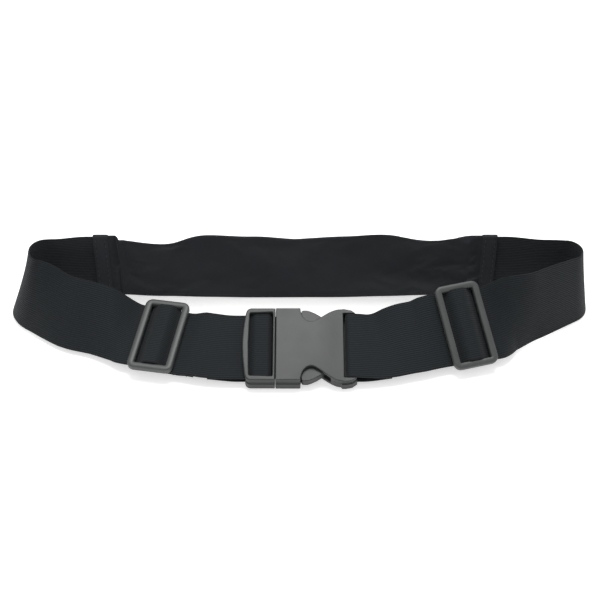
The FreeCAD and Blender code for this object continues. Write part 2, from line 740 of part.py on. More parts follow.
def sheet_of_cloth(outwards, nearest, thickness, lips, low_x, high_x):
    """A lofted panel between the seams, its inner face at a distance from the seam line."""
    sign = 1 if outwards else -1
    wires = []
    shares = [0.0, size("pouch_flat_end") / pouch_span] + [row[0] for row in POUCH_LIE]
    shares += [1 - size("pouch_flat_end") / pouch_span, 1.0]
    places = [pouch_low + share * pouch_span for share in shares]
    inside = [x for x in places if low_x + 2 < x < high_x - 2]
    for x in [low_x] + inside + [high_x]:
        low, high, height = pouch_lie(x)
        swell = bulge(x, outwards)

        def spot(share, distance):
            y = low + (high - low) * share + sign * distance
            return Vector(x, y, share * height)

        lip = LIP / height
        edge = 0 if lips else lip
        far = nearest + thickness
        outer_arc = Part.Arc(spot(edge, far), spot(0.5, far + swell),
                             spot(1 - edge, far)).toShape()
        inner_arc = Part.Arc(spot(1 - lip, nearest), spot(0.5, nearest + swell),
                             spot(lip, nearest)).toShape()
        corners_top = [spot(1 - lip, far), spot(1 - lip, nearest)]
        corners_low = [spot(lip, nearest), spot(lip, far)]
        if lips:
            corners_top = [spot(1, far), spot(1, 0.05), spot(1 - lip, 0.05),
                           spot(1 - lip, nearest)]
            corners_low = [spot(lip, nearest), spot(lip, 0.05), spot(0, 0.05), spot(0, far)]
        edges = [outer_arc]
        edges += [Part.LineSegment(a, b).toShape() for a, b in zip(corners_top, corners_top[1:])]
        edges += [inner_arc]
        edges += [Part.LineSegment(a, b).toShape() for a, b in zip(corners_low, corners_low[1:])]
        wires.append(Part.Wire(edges))
    return Part.makeLoft(wires, True, True)


def band(low_x, low_z, high_x, high_z):
    """A block right through the pouch, for trimming a panel to a band."""
    return Part.makeBox(high_x - low_x, 200, high_z - low_z, Vector(low_x, -100, low_z))


fabric = size("fabric_thick")
zip_low_x = pouch_low + size("zip_end_margin")
zip_high_x = pouch_high - size("zip_end_margin")
zip_z = size("zip_height")
slot_half = size("zip_slot") / 2
TALL = pouch_height * 2

shaped("pouch_inner_panel", sheet_of_cloth(False, pocket_half, fabric, True,
                                           pouch_low, pouch_high))
outer_panel = sheet_of_cloth(True, pocket_half, fabric, True, pouch_low, pouch_high)
outer_panel = outer_panel.cut(band(zip_low_x, zip_z - slot_half, zip_high_x, zip_z + slot_half))
shaped("pouch_outer_panel_upper",
       outer_panel.common(band(pouch_low - 1, zip_z, pouch_high + 1, TALL)))
shaped("pouch_outer_panel_lower",
       outer_panel.common(band(pouch_low - 1, -1, pouch_high + 1, zip_z)))

tape_low_x = zip_low_x - 2.0
tape_high_x = zip_high_x + 2.0
tape = sheet_of_cloth(True, pocket_half - size("layer_gap") - size("tape_thick"),
                      size("tape_thick"), False, tape_low_x, tape_high_x)
tape_gap = size("layer_gap") / 2
shaped("zip_tape_upper", tape.common(
    band(tape_low_x - 1, zip_z + tape_gap, tape_high_x + 1, zip_z + size("tape_width"))))
shaped("zip_tape_lower", tape.common(
    band(tape_low_x - 1, zip_z - size("tape_width"), tape_high_x + 1, zip_z - tape_gap)))

zip_line = "(Sizes.rear_line + Sizes.webbing_thick / 2 + Sizes.zip_out)"
zip_run = ("(Sizes.pouch_right + Sizes.pouch_left - 2 * Sizes.zip_end_margin"
           " - 2 * Sizes.coil_end_room)",
           "(Sizes.zip_end_margin + Sizes.coil_end_room - Sizes.pouch_left)")
for label, low_z in (("zip_coil_upper", "Sizes.zip_height + Sizes.layer_gap / 2"),
                     ("zip_coil_lower",
                      "Sizes.zip_height - Sizes.layer_gap / 2 - Sizes.coil_height")):
    node(prism(label, zip_run[0], "Sizes.coil_thick", "Sizes.coil_height", zip_run[1],
               zip_line, low_z), label)
stops = []
stop_room = "(Sizes.zip_end_margin + Sizes.coil_end_room - 2 * Sizes.layer_gap)"
for place in (f"{stop_room} - Sizes.stop_length - Sizes.pouch_left",
              f"Sizes.pouch_right - {stop_room}"):
    stops.append(prism(f"Stop{len(stops)}", "Sizes.stop_length", "Sizes.coil_thick",
                       "2 * Sizes.coil_height + Sizes.layer_gap", place, zip_line,
                       "Sizes.zip_height - Sizes.coil_height - Sizes.layer_gap / 2"))
document.recompute()


def joined(kind, label, pieces):
    """One object of several primitives: fused, or kept side by side as a compound."""
    feature = document.addObject(kind, label)
    setattr(feature, "Links" if kind == "Part::Compound" else "Shapes", pieces)
    return feature


node(joined("Part::Compound", "ZipStops", stops), "zip_stops")

# The slider straddles the closed coil near the zip's right end: a plate outside, two flanges
# beside the coil and a bridge that holds the pull's pin.
slider_x = ("(Sizes.pouch_right - Sizes.zip_end_margin - Sizes.coil_end_room"
            " - Sizes.slider_length)")
plate_y = f"({zip_line} + Sizes.coil_thick + Sizes.moving_gap)"
slider_low = "(Sizes.zip_height - Sizes.slider_height / 2)"
slider_top = "(Sizes.zip_height + Sizes.slider_height / 2)"
plate = prism("SliderPlate", "Sizes.slider_length", "Sizes.plate_thick",
              "Sizes.slider_height", slider_x, plate_y, slider_low)
flanges = []
for index, low_z in enumerate((slider_low, f"{slider_top} - Sizes.flange_thick")):
    flanges.append(prism(f"SliderFlange{index}", "Sizes.slider_length",
                         "Sizes.coil_thick + Sizes.moving_gap", "Sizes.flange_thick", slider_x,
                         zip_line, low_z))
bridge_height = "(Sizes.pull_thick + 2 * Sizes.moving_gap)"
bridge_x = f"({slider_x} + Sizes.slider_length / 2 - Sizes.bridge_length / 2)"
bridge_low = "Sizes.zip_height - Sizes.bridge_width / 2"
far_post = f"{bridge_x} + Sizes.bridge_length - Sizes.bridge_post"
bridge = []
for index, low_x in enumerate((bridge_x, far_post)):
    bridge.append(prism(f"SliderPost{index}", "Sizes.bridge_post",
                        f"{bridge_height} + Sizes.bridge_thick / 2", "Sizes.bridge_width",
                        low_x, f"{plate_y} + Sizes.plate_thick", bridge_low))
bridge.append(prism("SliderBridge", "Sizes.bridge_length", "Sizes.bridge_thick",
                    "Sizes.bridge_width", bridge_x,
                    f"{plate_y} + Sizes.plate_thick + {bridge_height}", bridge_low))
node(joined("Part::MultiFuse", "Slider", [plate] + flanges + bridge), "zip_slider")

# The pull: a pin through the bridge, two cheeks beside it and a tab along the closed coil.
pin_x = f"({bridge_x} + Sizes.bridge_length / 2)"
pin_y = f"({plate_y} + Sizes.plate_thick + Sizes.moving_gap + Sizes.pull_thick / 2)"
pin = document.addObject("Part::Cylinder", "PullPin")
pin.setExpression("Radius", "Sizes.pull_thick / 2")
pin.setExpression("Height", "Sizes.pull_width")
for axis, expression in (("x", pin_x), ("y", pin_y),
                         ("z", "Sizes.zip_height - Sizes.pull_width / 2")):
    pin.setExpression(f"Placement.Base.{axis}", expression)
cheeks = []
for index, low_z in enumerate(("Sizes.zip_height - Sizes.pull_width / 2",
                               "Sizes.zip_height + Sizes.pull_width / 2 - Sizes.pull_cheek")):
    cheeks.append(prism(f"PullCheek{index}", "Sizes.pull_eye + 1", "Sizes.pull_thick",
                        "Sizes.pull_cheek", f"{pin_x} - Sizes.pull_eye - 1",
                        f"{pin_y} - Sizes.pull_thick / 2", low_z))
tab = prism("PullTab", "Sizes.pull_length - Sizes.pull_eye", "Sizes.pull_thick", "Sizes.pull_width",
            f"{pin_x} - Sizes.pull_length", f"{pin_y} - Sizes.pull_thick / 2",
            "Sizes.zip_height - Sizes.pull_width / 2")
node(joined("Part::MultiFuse", "Pull", [pin, tab] + cheeks), "zip_pull")

# The end hems: the panels' folded ends, flat on both faces, with the webbing sewn between.
HEM_INSET = 1.6
HEM_SHORT = 1.0
ROW_SHORT = 3.0
hem_face = pocket_half + fabric + 2 * size("layer_gap")
for name, low_x in (("left", pouch_low), ("right", pouch_high - size("hem_width"))):
    bands = []
    rows = []
    for face in (-1, 1):
        near = seam_line + face * hem_face
        out = near + face * size("hem_thick")
        bands.append(Part.makeBox(size("hem_width"), size("hem_thick"),
                                  pouch_height - 2 * HEM_SHORT,
                                  Vector(low_x, min(near, out), HEM_SHORT)))
        for inset in (HEM_INSET, size("hem_width") - HEM_INSET - THREAD):
            rows += stitch_line(Vector(low_x + inset, out, ROW_SHORT), UP, Vector(1, 0, 0),
                                Vector(0, face, 0), pouch_height - 2 * ROW_SHORT)
    shaped(f"end_hem_{name}", Part.makeCompound(bands))
    shaped(f"hem_stitching_{name}", Part.makeCompound(rows))

# ---------------------------------------------------------------- checks and files

document.recompute()
for thing in document.Objects:
    if "Invalid" in thing.State or "Error" in thing.State:
        raise RuntimeError(f"{thing.Name} did not build: {thing.State}")
os.makedirs("parts", exist_ok=True)
low = Vector(1e9, 1e9, 1e9)
high = -low
for piece in NODES:
    shape = piece.Shape
    if shape.isNull() or not shape.isValid() or not shape.Solids:
        raise RuntimeError(f"{piece.Label} has no valid solid")
    shape.exportStep(f"parts/{piece.Label}.step")
    box = shape.BoundBox
    low = Vector(min(low.x, box.XMin), min(low.y, box.YMin), min(low.z, box.ZMin))
    high = Vector(max(high.x, box.XMax), max(high.y, box.YMax), max(high.z, box.ZMax))
    print(f"{piece.Label}: {len(shape.Solids)} solids, {shape.Volume:.1f} mm3, "
          f"x {box.XMin:.1f} {box.XMax:.1f}, y {box.YMin:.1f} {box.YMax:.1f}, "
          f"z {box.ZMin:.1f} {box.ZMax:.1f}")
print("whole", low, high)
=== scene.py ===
import math

import bmesh
import bpy
import numpy as np
from mathutils import Matrix, Vector, noise


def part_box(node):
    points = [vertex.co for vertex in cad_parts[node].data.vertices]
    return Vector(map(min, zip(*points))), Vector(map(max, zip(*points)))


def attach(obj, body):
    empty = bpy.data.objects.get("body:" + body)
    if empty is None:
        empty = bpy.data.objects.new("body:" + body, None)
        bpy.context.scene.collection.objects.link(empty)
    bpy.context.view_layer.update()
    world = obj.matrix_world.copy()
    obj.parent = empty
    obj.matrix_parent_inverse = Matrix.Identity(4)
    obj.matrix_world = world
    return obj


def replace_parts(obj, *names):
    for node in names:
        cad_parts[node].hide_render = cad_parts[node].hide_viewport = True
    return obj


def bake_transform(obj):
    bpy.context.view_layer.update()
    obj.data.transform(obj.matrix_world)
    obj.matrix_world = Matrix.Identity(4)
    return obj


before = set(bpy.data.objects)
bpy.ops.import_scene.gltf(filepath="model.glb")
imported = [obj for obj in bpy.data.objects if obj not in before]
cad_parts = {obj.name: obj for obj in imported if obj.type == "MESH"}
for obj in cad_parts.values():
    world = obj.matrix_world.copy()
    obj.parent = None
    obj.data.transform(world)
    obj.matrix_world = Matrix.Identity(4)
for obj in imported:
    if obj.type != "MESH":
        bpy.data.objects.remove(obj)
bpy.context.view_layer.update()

# ---------------------------------------------------------------- table, light and camera
# The belt lies on a plain pale table under broad soft light, and is seen from the buckle's
# side, from 40 degrees above the table.

scene = bpy.context.scene
scene.view_settings.view_transform = "Standard"


class Shade:
    """What a shader node gives. Sums and products of numbers add Math nodes."""

    def __init__(self, tree, socket=None):
        self.tree = tree
        self.socket = socket

    def node(self, kind, settings=None, values=None, output=0):
        """Adds a node: its settings first, then the values or links of its sockets."""
        made = self.tree.nodes.new("ShaderNode" + kind)
        for name, value in (settings or {}).items():
            setattr(made, name, value)
        for name, value in (values or {}).items():
            if isinstance(value, Shade):
                self.tree.links.new(value.socket, made.inputs[name])
            else:
                made.inputs[name].default_value = value
        return Shade(self.tree, made.outputs[output])

    def other(self, index):
        """Another output of the same node."""
        return Shade(self.tree, self.socket.node.outputs[index])

    def math(self, operation, first, second=0.0):
        return self.node("Math", {"operation": operation}, {0: first, 1: second})

    def __add__(self, other):
        return self.math("ADD", self, other)

    def __sub__(self, other):
        return self.math("SUBTRACT", self, other)

    def __rsub__(self, other):
        return self.math("SUBTRACT", other, self)

    def __mul__(self, other):
        return self.math("MULTIPLY", self, other)

    __radd__ = __add__
    __rmul__ = __mul__

    def blended(self, low, high):
        """A colour between two, by this number."""
        return self.node("Mix", {"data_type": "RGBA"}, {0: self, 6: low, 7: high}, output=2)

    def cloudy(self, scale, detail=2.0):
        """Soft noise at the place that this vector gives."""
        return self.node("TexNoise", {}, {"Vector": self, "Scale": scale, "Detail": detail})


def finish(name, constants):
    """A new material: its shader with what is the same all over, and its nodes' start."""
    material = bpy.data.materials.new(name)
    material.use_nodes = True
    shader = material.node_tree.nodes["Principled BSDF"]
    for socket, value in constants.items():
        shader.inputs[socket].default_value = value
    return material, shader, Shade(material.node_tree)


def drive(shader, **shades):
    """Links shades to the shader's sockets, whose names have _ for a space."""
    for name, shade in shades.items():
        shade.tree.links.new(shade.socket, shader.inputs[name.replace("_", " ")])


def raised(start, height, depth, strength=1.0):
    """A bump of a depth in metres, for the shader's Normal."""
    return start.node("Bump", {}, {"Height": height, "Distance": depth, "Strength": strength})


def table_top():
    material, shader, start = finish("table_top", {"Specular IOR Level": 0.2,
                                                   "Emission Color": (1, 1, 1, 1),
                                                   "Emission Strength": 0.55})
    place = start.node("TexCoord", output="Object")
    cloud = place.cloudy(3.0)
    drive(shader, Base_Color=cloud.blended((0.86, 0.86, 0.85, 1), (0.90, 0.90, 0.89, 1)),
          Roughness=cloud * 0.1 + 0.7)
    return material


TABLE_HALF = 4.0
corners = [(x, y, 0.0) for x, y in ((-1, -1), (1, -1), (1, 1), (-1, 1))]
table_mesh = bpy.data.meshes.new("table")
table_mesh.from_pydata([Vector(c) * TABLE_HALF for c in corners], [], [(0, 1, 2, 3)])
table_mesh.materials.append(table_top())
table = bpy.data.objects.new("table", table_mesh)
scene.collection.objects.link(table)

world = bpy.data.worlds.new("studio")
world.use_nodes = True
world.node_tree.nodes["Background"].inputs["Color"].default_value = (1.0, 1.0, 1.0, 1)
world.node_tree.nodes["Background"].inputs["Strength"].default_value = 0.5
scene.world = world

for name, place, width, power in (("overhead", (0.0, 0.5, 1.6), 1.0, 20.0),
                                  ("front", (-0.9, -1.2, 1.3), 1.4, 2.5),
                                  ("side", (1.4, -0.3, 0.9), 1.0, 1.0)):
    lamp = bpy.data.lights.new(name, "AREA")
    lamp.shape = "DISK"
    lamp.size = width
    lamp.energy = power
    holder = bpy.data.objects.new(name, lamp)
    holder.location = place
    holder.rotation_euler = (-Vector(place)).to_track_quat("-Z", "Y").to_euler()
    scene.collection.objects.link(holder)

ELEVATION = math.radians(40)
target = Vector((0.0, 0.0394, 0.0))
away = Vector((0, -math.cos(ELEVATION), math.sin(ELEVATION)))
camera = bpy.data.objects.new("camera", bpy.data.cameras.new("camera"))
camera.data.lens = 87.0
camera.data.sensor_width = 36.0
camera.location = target + away
camera.rotation_euler = (-away).to_track_quat("-Z", "Y").to_euler()
scene.collection.objects.link(camera)
scene.camera = camera

# ---------------------------------------------------------------- webbing
# The belt is 50 mm polyester webbing, 1.2 mm thick, woven with fine ribs that run along it and
# a tight selvage at each edge. Each half leaves the buckle, passes its glide and turns at the
# end of the loop to be sewn into the pouch.

MM = 0.001
UP = Vector((0, 0, 1))
THICK = 1.2
WIDTH = 50.0
FRONT_LINE, REAR_LINE = -24.0, 44.0
GLIDE_LENGTH, GLIDE_WIDTH = 30.0, 57.0
RIGHT_GLIDE_AT, LEFT_GLIDE_AT = 109.5, 93.2
HOLD_AT_BUCKLE = 44.0
SOCKET_END = 37.5
SEAM_OVERLAP = 15.0
KNEE_RADIUS, BEND_RADIUS = 80.0, 90.0
RIGHT_KNEE, RIGHT_BEND, RIGHT_BEND_IN = 50.0, 146.6, 21.6
RIGHT_CORNER, RIGHT_TIP_RADIUS, RIGHT_POUCH_END = 222.9, 12.5, 132.6
LEFT_KNEE, LEFT_BEND, LEFT_BEND_IN = 52.4, 150.4, 26.0
LEFT_CORNER, LEFT_TIP_RADIUS, LEFT_POUCH_END = 234.4, 15.0, 138.4

# Share of the way from buckle to pouch, height of the lower edge, lean inwards, slant.
RIGHT_LIE = [
    (0.0, 6.1, 74.0, 0.0), (0.205, 6.0, 64.0, 0.0), (0.39, 5.5, 56.0, -3.0),
    (0.563, 1.2, 14.0, 2.0), (0.711, 0.2, 9.0, -6.0), (0.845, 0.3, 5.0, -4.0),
    (0.93, 1.0, 0.0, 0.0), (1.0, 1.0, 0.0, 0.0),
]
LEFT_LIE = [
    (0.0, 6.1, 74.0, 0.0), (0.205, 6.2, 75.0, 0.0), (0.35, 5.9, 79.0, 4.0),
    (0.563, 2.6, 44.0, 18.0), (0.711, 1.5, 21.0, -5.0), (0.845, 0.3, 4.0, 0.0),
    (0.93, 1.0, 0.0, 0.0), (1.0, 1.0, 0.0, 0.0),
]


def eased(share):
    share = min(1.0, max(0.0, share))
    return share * share * (3 - 2 * share)


def between(rows, share):
    """The row of a lie table at a share of the way, eased from row to row."""
    for low, high in zip(rows, rows[1:]):
        if share <= high[0]:
            part = eased((share - low[0]) / (high[0] - low[0]))
            return [a + (b - a) * part for a, b in zip(low[1:], high[1:])]
    return list(rows[-1][1:])


class Half:
    """One half of the loop, in millimetres: a plan line of straight runs and round bends, with
    the webbing's lie along it. The left half is worked out on the right and mirrored."""

    def __init__(self, corners, lie, side, glide_at):
        self.lie = lie
        self.side = side
        self.glide_at = glide_at
        self.holds = [(glide_at, GLIDE_LENGTH / 2 + 1.0), (0.0, HOLD_AT_BUCKLE)]
        self.pieces = []
        start = Vector(corners[0][:2])
        for before, here, after in zip(corners, corners[1:], corners[2:]):
            corner, radius = Vector(here[:2]), here[2]
            into = (corner - Vector(before[:2])).normalized()
            out = (Vector(after[:2]) - corner).normalized()
            turn = math.atan2(into.x * out.y - into.y * out.x, into.dot(out))
            reach = radius * math.tan(turn / 2)
            heading = math.atan2(into.y, into.x)
            first = corner - into * reach
            self.pieces.append((start, (first - start).length, heading, 0.0))
            self.pieces.append((first, radius * turn, heading, 1 / radius))
            start = corner + out * reach
        final = Vector(corners[-1][:2]) - start
        self.pieces.append((start, final.length, math.atan2(final.y, final.x), 0.0))
        self.length = sum(piece[1] for piece in self.pieces)

    def plan(self, distance):
        """Point and heading on the plan line at a distance from the buckle's middle."""
        for start, length, heading, curve in self.pieces[:-1]:
            if distance <= length:
                break
            distance -= length
        else:
            start, length, heading, curve = self.pieces[-1]
        if not curve:
            return start + Vector((math.cos(heading), math.sin(heading))) * distance, heading
        turned = heading + distance * curve
        centre = start + Vector((-math.sin(heading), math.cos(heading))) / curve
        return centre + Vector((math.sin(turned), -math.cos(turned))) / curve, turned

    def flattened(self, distance):
        """Where the lie is read: it stands still under a rigid piece and catches up beyond."""
        for middle, reach in self.holds:
            off = distance - middle
            if abs(off) < 2 * reach:
                distance = middle + math.copysign(2 * max(0.0, abs(off) - reach), off)
        return distance

    def frame(self, distance):
        """Middle of the webbing, and its directions: along, across (up) and outwards."""
        flat, heading = self.plan(distance)
        edge, lean, slant = between(self.lie, self.flattened(distance) / self.length)
        lean, slant = math.radians(lean), math.radians(slant)
        along = Vector((math.cos(heading), math.sin(heading), 0))
        inwards = Vector((-math.sin(heading), math.cos(heading), 0))
        across = ((UP * math.cos(lean) + inwards * math.sin(lean)) * math.cos(slant)
                  + along * math.sin(slant))
        outwards = along.cross(across).normalized()
        along = across.cross(outwards)
        point = Vector((flat.x, flat.y, edge + WIDTH / 2 * across.z))
        found = [point, along, across, outwards]
        for vector in found:
            vector.x *= self.side
        return found

    def matrix(self, distance):
        """Places a rigid piece, drawn in metres, on the webbing: x along, y across, z out."""
        point, along, across, outwards = self.frame(distance)
        turn = Matrix((along * self.side, across, outwards)).transposed().to_4x4()
        return Matrix.Translation(point * MM) @ turn


right_half = Half([(0, FRONT_LINE),
                   (RIGHT_KNEE, FRONT_LINE, KNEE_RADIUS),
                   (RIGHT_BEND, FRONT_LINE + RIGHT_BEND_IN, BEND_RADIUS),
                   (RIGHT_CORNER, REAR_LINE, RIGHT_TIP_RADIUS),
                   (RIGHT_POUCH_END - SEAM_OVERLAP, REAR_LINE)],
                  RIGHT_LIE, 1, RIGHT_GLIDE_AT)
left_half = Half([(0, FRONT_LINE),
                  (LEFT_KNEE, FRONT_LINE, KNEE_RADIUS),
                  (LEFT_BEND, FRONT_LINE + LEFT_BEND_IN, BEND_RADIUS),
                  (LEFT_CORNER, REAR_LINE, LEFT_TIP_RADIUS),
                  (LEFT_POUCH_END - SEAM_OVERLAP, REAR_LINE)],
                 LEFT_LIE, -1, LEFT_GLIDE_AT)

RIBS = 34
RIB_DEPTH = 0.2
POINTS_PER_RIB = 4


def webbing_outline(width):
    """The webbing's closed section, with ribs on both faces and a rounded selvage at each
    edge, and for each point the number of ribs from one edge."""
    share = np.linspace(0, 1, RIBS * POINTS_PER_RIB + 1)
    ribs = share * RIBS
    lift = THICK / 2 - RIB_DEPTH * (0.5 + 0.5 * np.cos(2 * np.pi * ribs))
    bead = THICK / 2
    across = (2 * share - 1) * (width / 2 - bead)
    turn = np.radians([60, 30, 0, -30, -60])
    edge = np.column_stack([np.cos(turn), np.sin(turn)]) * bead
    edge[:, 0] += width / 2 - bead
    top = np.column_stack([across, lift])
    points = np.vstack([top, edge, -top, -edge])
    return points, np.concatenate([ribs, RIBS + 0.5 * np.cos(turn), RIBS - ribs,
                                   -0.5 * np.cos(turn)])


def skinned(name, rings, marks, steps):
    """A closed mesh through rings of points in millimetres, with a weave map that gives each
    point's mark round the ring and its ring's step along."""
    rings = np.asarray(rings, float)
    count, around = rings.shape[:2]
    index = np.arange(count * around).reshape(count, around)
    here, following = index[:-1], index[1:]
    quads = np.stack([here, np.roll(here, -1, 1), np.roll(following, -1, 1), following], -1)
    faces = quads.reshape(-1, 4).tolist() + [index[0][::-1].tolist(), index[-1].tolist()]
    mesh = bpy.data.meshes.new(name)
    mesh.from_pydata(rings.reshape(-1, 3) * MM, [], faces)
    loops = np.empty(len(mesh.loops), np.int32)
    mesh.loops.foreach_get("vertex_index", loops)
    marks = np.broadcast_to(np.asarray(marks), (count, around))
    steps = np.broadcast_to(np.asarray(steps)[:, None], (count, around))
    pairs = np.stack([marks, steps], -1).reshape(-1, 2)
    weave = mesh.uv_layers.new(name="weave")
    weave.data.foreach_set("uv", pairs[loops].astype(np.float32).ravel())
    body = bmesh.new()
    body.from_mesh(mesh)
    if body.calc_volume(signed=True) < 0:
        bmesh.ops.reverse_faces(body, faces=body.faces)
    body.to_mesh(mesh)
    body.free()
    mesh.shade_smooth()
    # The end faces are cut square, so that the sides' shading runs straight up to them.
    caps = {key for face in mesh.polygons if len(face.vertices) > 4 for key in face.edge_keys}
    for edge in mesh.edges:
        edge.use_edge_sharp = edge.key in caps
    made = bpy.data.objects.new(name, mesh)
    scene.collection.objects.link(made)
    return made


NECK = 48.6
SPARE = 1.8  # how much narrower the webbing is where it lies under another layer
NECK_END, NECK_RUN = SOCKET_END + 6.0, 18.0


def webbing_width(distance):
    """Full width, a little drawn in where it enters the buckle."""
    return NECK + (WIDTH - NECK) * eased((distance - NECK_END) / NECK_RUN)


def ribbon(name, half, stations, spare=0.0):
    """Webbing through stations of distance, height off its middle layer and roll, drawn in by
    a spare width where it lies under another layer."""
    rings, steps = [], []
    travelled, last = 0.0, None
    for distance, height, roll in stations:
        point, along, across, outwards = half.frame(distance)
        through = outwards * math.cos(roll) - along * math.sin(roll)
        centre = np.array(point + outwards * height)
        outline, marks = webbing_outline(webbing_width(distance) - spare)
        rings.append(centre + outline[:, :1] * np.array(across)
                     + outline[:, 1:] * np.array(through))
        if last is not None:
            travelled += np.linalg.norm(centre - last)
        last = centre
        steps.append(travelled)
    return skinned(name, rings, marks, steps)


def webbing_finish():
    material, shader, start = finish("webbing", {"Specular IOR Level": 0.25,
                                                 "Sheen Weight": 0.08,
                                                 "Sheen Roughness": 0.5})
    weave = start.node("UVMap", {"uv_map": "weave"})
    rib = weave.node("SeparateXYZ", {}, {0: weave})
    step = rib.other(1)
    turn = 2 * math.pi
    crest = 0.5 - start.math("COSINE", rib * turn) * 0.5
    offset = start.math("MODULO", start.math("FLOOR", rib), 2.0) * 0.5
    pick = start.math("SINE", (step * (1 / 0.9) + offset) * turn) * 0.5 + 0.5
    place = start.node("TexCoord", output="Object")
    cloud = place.cloudy(45.0, 4.0)
    dust = place.cloudy(900.0, 1.0)
    # The rib crests are painted lighter and the grooves darker, as painted sheen and painted
    # shade; the picks and the fine dust are the yarn's own tone.
    crest_sheen_and_yarn = crest * 0.55 + pick * 0.12 + dust * 0.33
    # Two copies of the webbing's colour, the second lighter as painted light, mixed in soft
    # patches by the cloud.
    plain = crest_sheen_and_yarn.blended((0.0038, 0.0054, 0.0068, 1), (0.0105, 0.0145, 0.0178, 1))
    lit = crest_sheen_and_yarn.blended((0.0048, 0.0068, 0.0082, 1), (0.0138, 0.0182, 0.0212, 1))
    drive(shader, Base_Color=cloud.blended(plain, lit), Roughness=0.9 - crest * 0.2,
          Normal=raised(start, crest * 0.4 + pick * 0.4 + dust * 0.3, 0.00012, 0.6))
    return material


webbing = webbing_finish()
OUTER = THICK / 2
INNER = -THICK / 2 - 0.2
TAIL = INNER - THICK - 0.3
WRAP = 2.9
SETTLED = SOCKET_END + 18.0
STEP, FINE_STEP = 2.0, 0.8
TAIL_LENGTH = 30.0
RAIL, END_RAIL = 4.6, 4.4


def spaced(start, end, step=STEP):
    count = max(2, int(abs(end - start) / step) + 1)
    return np.linspace(start, end, count)


def level(start, end, height):
    return [(distance, height, 0.0) for distance in spaced(start, end)]


def climb(start, end, low, high):
    """Stations that ease from one height to another."""
    return [(distance, low + (high - low) * eased((distance - start) / (end - start)), 0.0)
            for distance in spaced(start, end, FINE_STEP)[1:]]


def wrapped(bar_middle):
    """Stations round an anchor bar: round its inner side and back under it."""
    turn = [math.pi * index / 16 for index in range(1, 17)]
    around = [(bar_middle - WRAP * math.sin(roll), WRAP * math.cos(roll), roll)
              for roll in turn]
    back = [(distance, -WRAP + (INNER + WRAP) * eased((distance - 40.0) / (SETTLED - 40.0)),
             math.pi) for distance in spaced(bar_middle, SETTLED)[1:]]
    return around + back


def woven(piece, *nodes):
    """Gives a length of webbing its finish and hides the CAD nodes that it stands in for."""
    piece.data.materials.append(webbing)
    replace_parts(piece, *nodes)
    return piece


SOCKET_BAR, CLIP_BAR = 33.2, 21.4
right_strap = ribbon("strap_right_main", right_half,
                     level(right_half.length, SETTLED, OUTER)
                     + climb(SETTLED, SOCKET_BAR + 2.4, OUTER, WRAP)
                     + [(SOCKET_BAR, WRAP, 0.0)] + wrapped(SOCKET_BAR))
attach(woven(right_strap, "strap_right"), "root")

LEFT_SPLIT = LEFT_GLIDE_AT + GLIDE_LENGTH * 1.5
left_strap = ribbon("strap_left_main", left_half,
                    level(LEFT_SPLIT + 0.1, 33.6, OUTER) + climb(33.6, 28.2, OUTER, WRAP)
                    + [(24.5, WRAP, 0.0), (CLIP_BAR, WRAP, 0.0)] + wrapped(CLIP_BAR))
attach(woven(left_strap, "strap_left_front"), "clip_half")

rear_strap = ribbon("strap_left_back", left_half, level(LEFT_SPLIT + 0.12, left_half.length,
                                                        OUTER))
woven(rear_strap, "strap_left_rear")
split = left_half.frame(LEFT_SPLIT)[0] * MM
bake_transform(rear_strap)

for half, name, body in ((right_half, "right", "root"), (left_half, "left", "clip_half")):
    back = woven(ribbon(f"strap_{name}_inner", half,
                        level(SETTLED + 0.2, half.glide_at, INNER), SPARE),
                 f"strap_{name}_return")
    half.frame(SETTLED)[0] * MM
    half.frame(half.glide_at - GLIDE_LENGTH / 2)[0] * MM
    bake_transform(back)
    tail = ribbon(f"strap_{name}_end", half,
                  level(half.glide_at, half.glide_at - TAIL_LENGTH, TAIL), SPARE)
    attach(woven(tail, f"strap_{name}_tail"), f"{name}_glide")

# The strap's end goes round the glide's middle bar, and the strap itself crosses over it. Both
# are drawn in the glide's own frame, along and out, and carried across the webbing's width.
GLIDE_FLOOR = THICK + 0.3
BAR_LOW = GLIDE_FLOOR + THICK + 0.1
BAR_HIGH = BAR_LOW + 1.8
HUMP_LOW = BAR_HIGH + 0.1 + THICK + 0.2


def crossing(name, matrix, path):
    """A short length of webbing along a path of x, z and tilt in a glide's frame."""
    outline, marks = webbing_outline(WIDTH - SPARE)
    rings = []
    for x, z, tilt in path:
        through = np.array([math.sin(tilt), 0.0, math.cos(tilt)])
        ring = (np.array([x, 0.0, z]) + outline[:, :1] * np.array([0.0, 1.0, 0.0])
                + outline[:, 1:] * through)
        rings.append(ring)
    steps = [index * FINE_STEP for index in range(len(rings))]
    made = skinned(name, rings, marks, steps)
    made.data.transform(matrix)
    return made


def hump_path():
    """Over the bar, and down on both sides to go under the glide's rails."""
    foot = GLIDE_LENGTH / 2 - RAIL - 1.0
    low, high = GLIDE_FLOOR + THICK / 2, HUMP_LOW + THICK / 2
    path = []
    for x in np.linspace(-foot, foot, 41):
        rise = (1 - eased((abs(x) - 2.6) / (foot - 2.6)))
        ahead = (1 - eased((abs(x) + 0.01 - 2.6) / (foot - 2.6)))
        slope = (ahead - rise) * (high - low) / 0.01 * math.copysign(1, x)
        path.append((x, low + (high - low) * rise, -math.atan(slope)))
    return path


def loop_path():
    """Once round the bar, from under it back to under it."""
    path = []
    reach, middle = 2.5, (BAR_LOW + BAR_HIGH) / 2
    radius = (BAR_HIGH - BAR_LOW) / 2 + 0.1 + THICK / 2
    for side in (1, -1):
        for index in range(13):
            turn = math.pi * index / 12
            angle = turn if side > 0 else turn + math.pi
            path.append((side * reach + radius * math.sin(angle),
                         middle + radius * math.cos(angle), angle))
    return path + [(0.6, middle + radius, 0.0)]


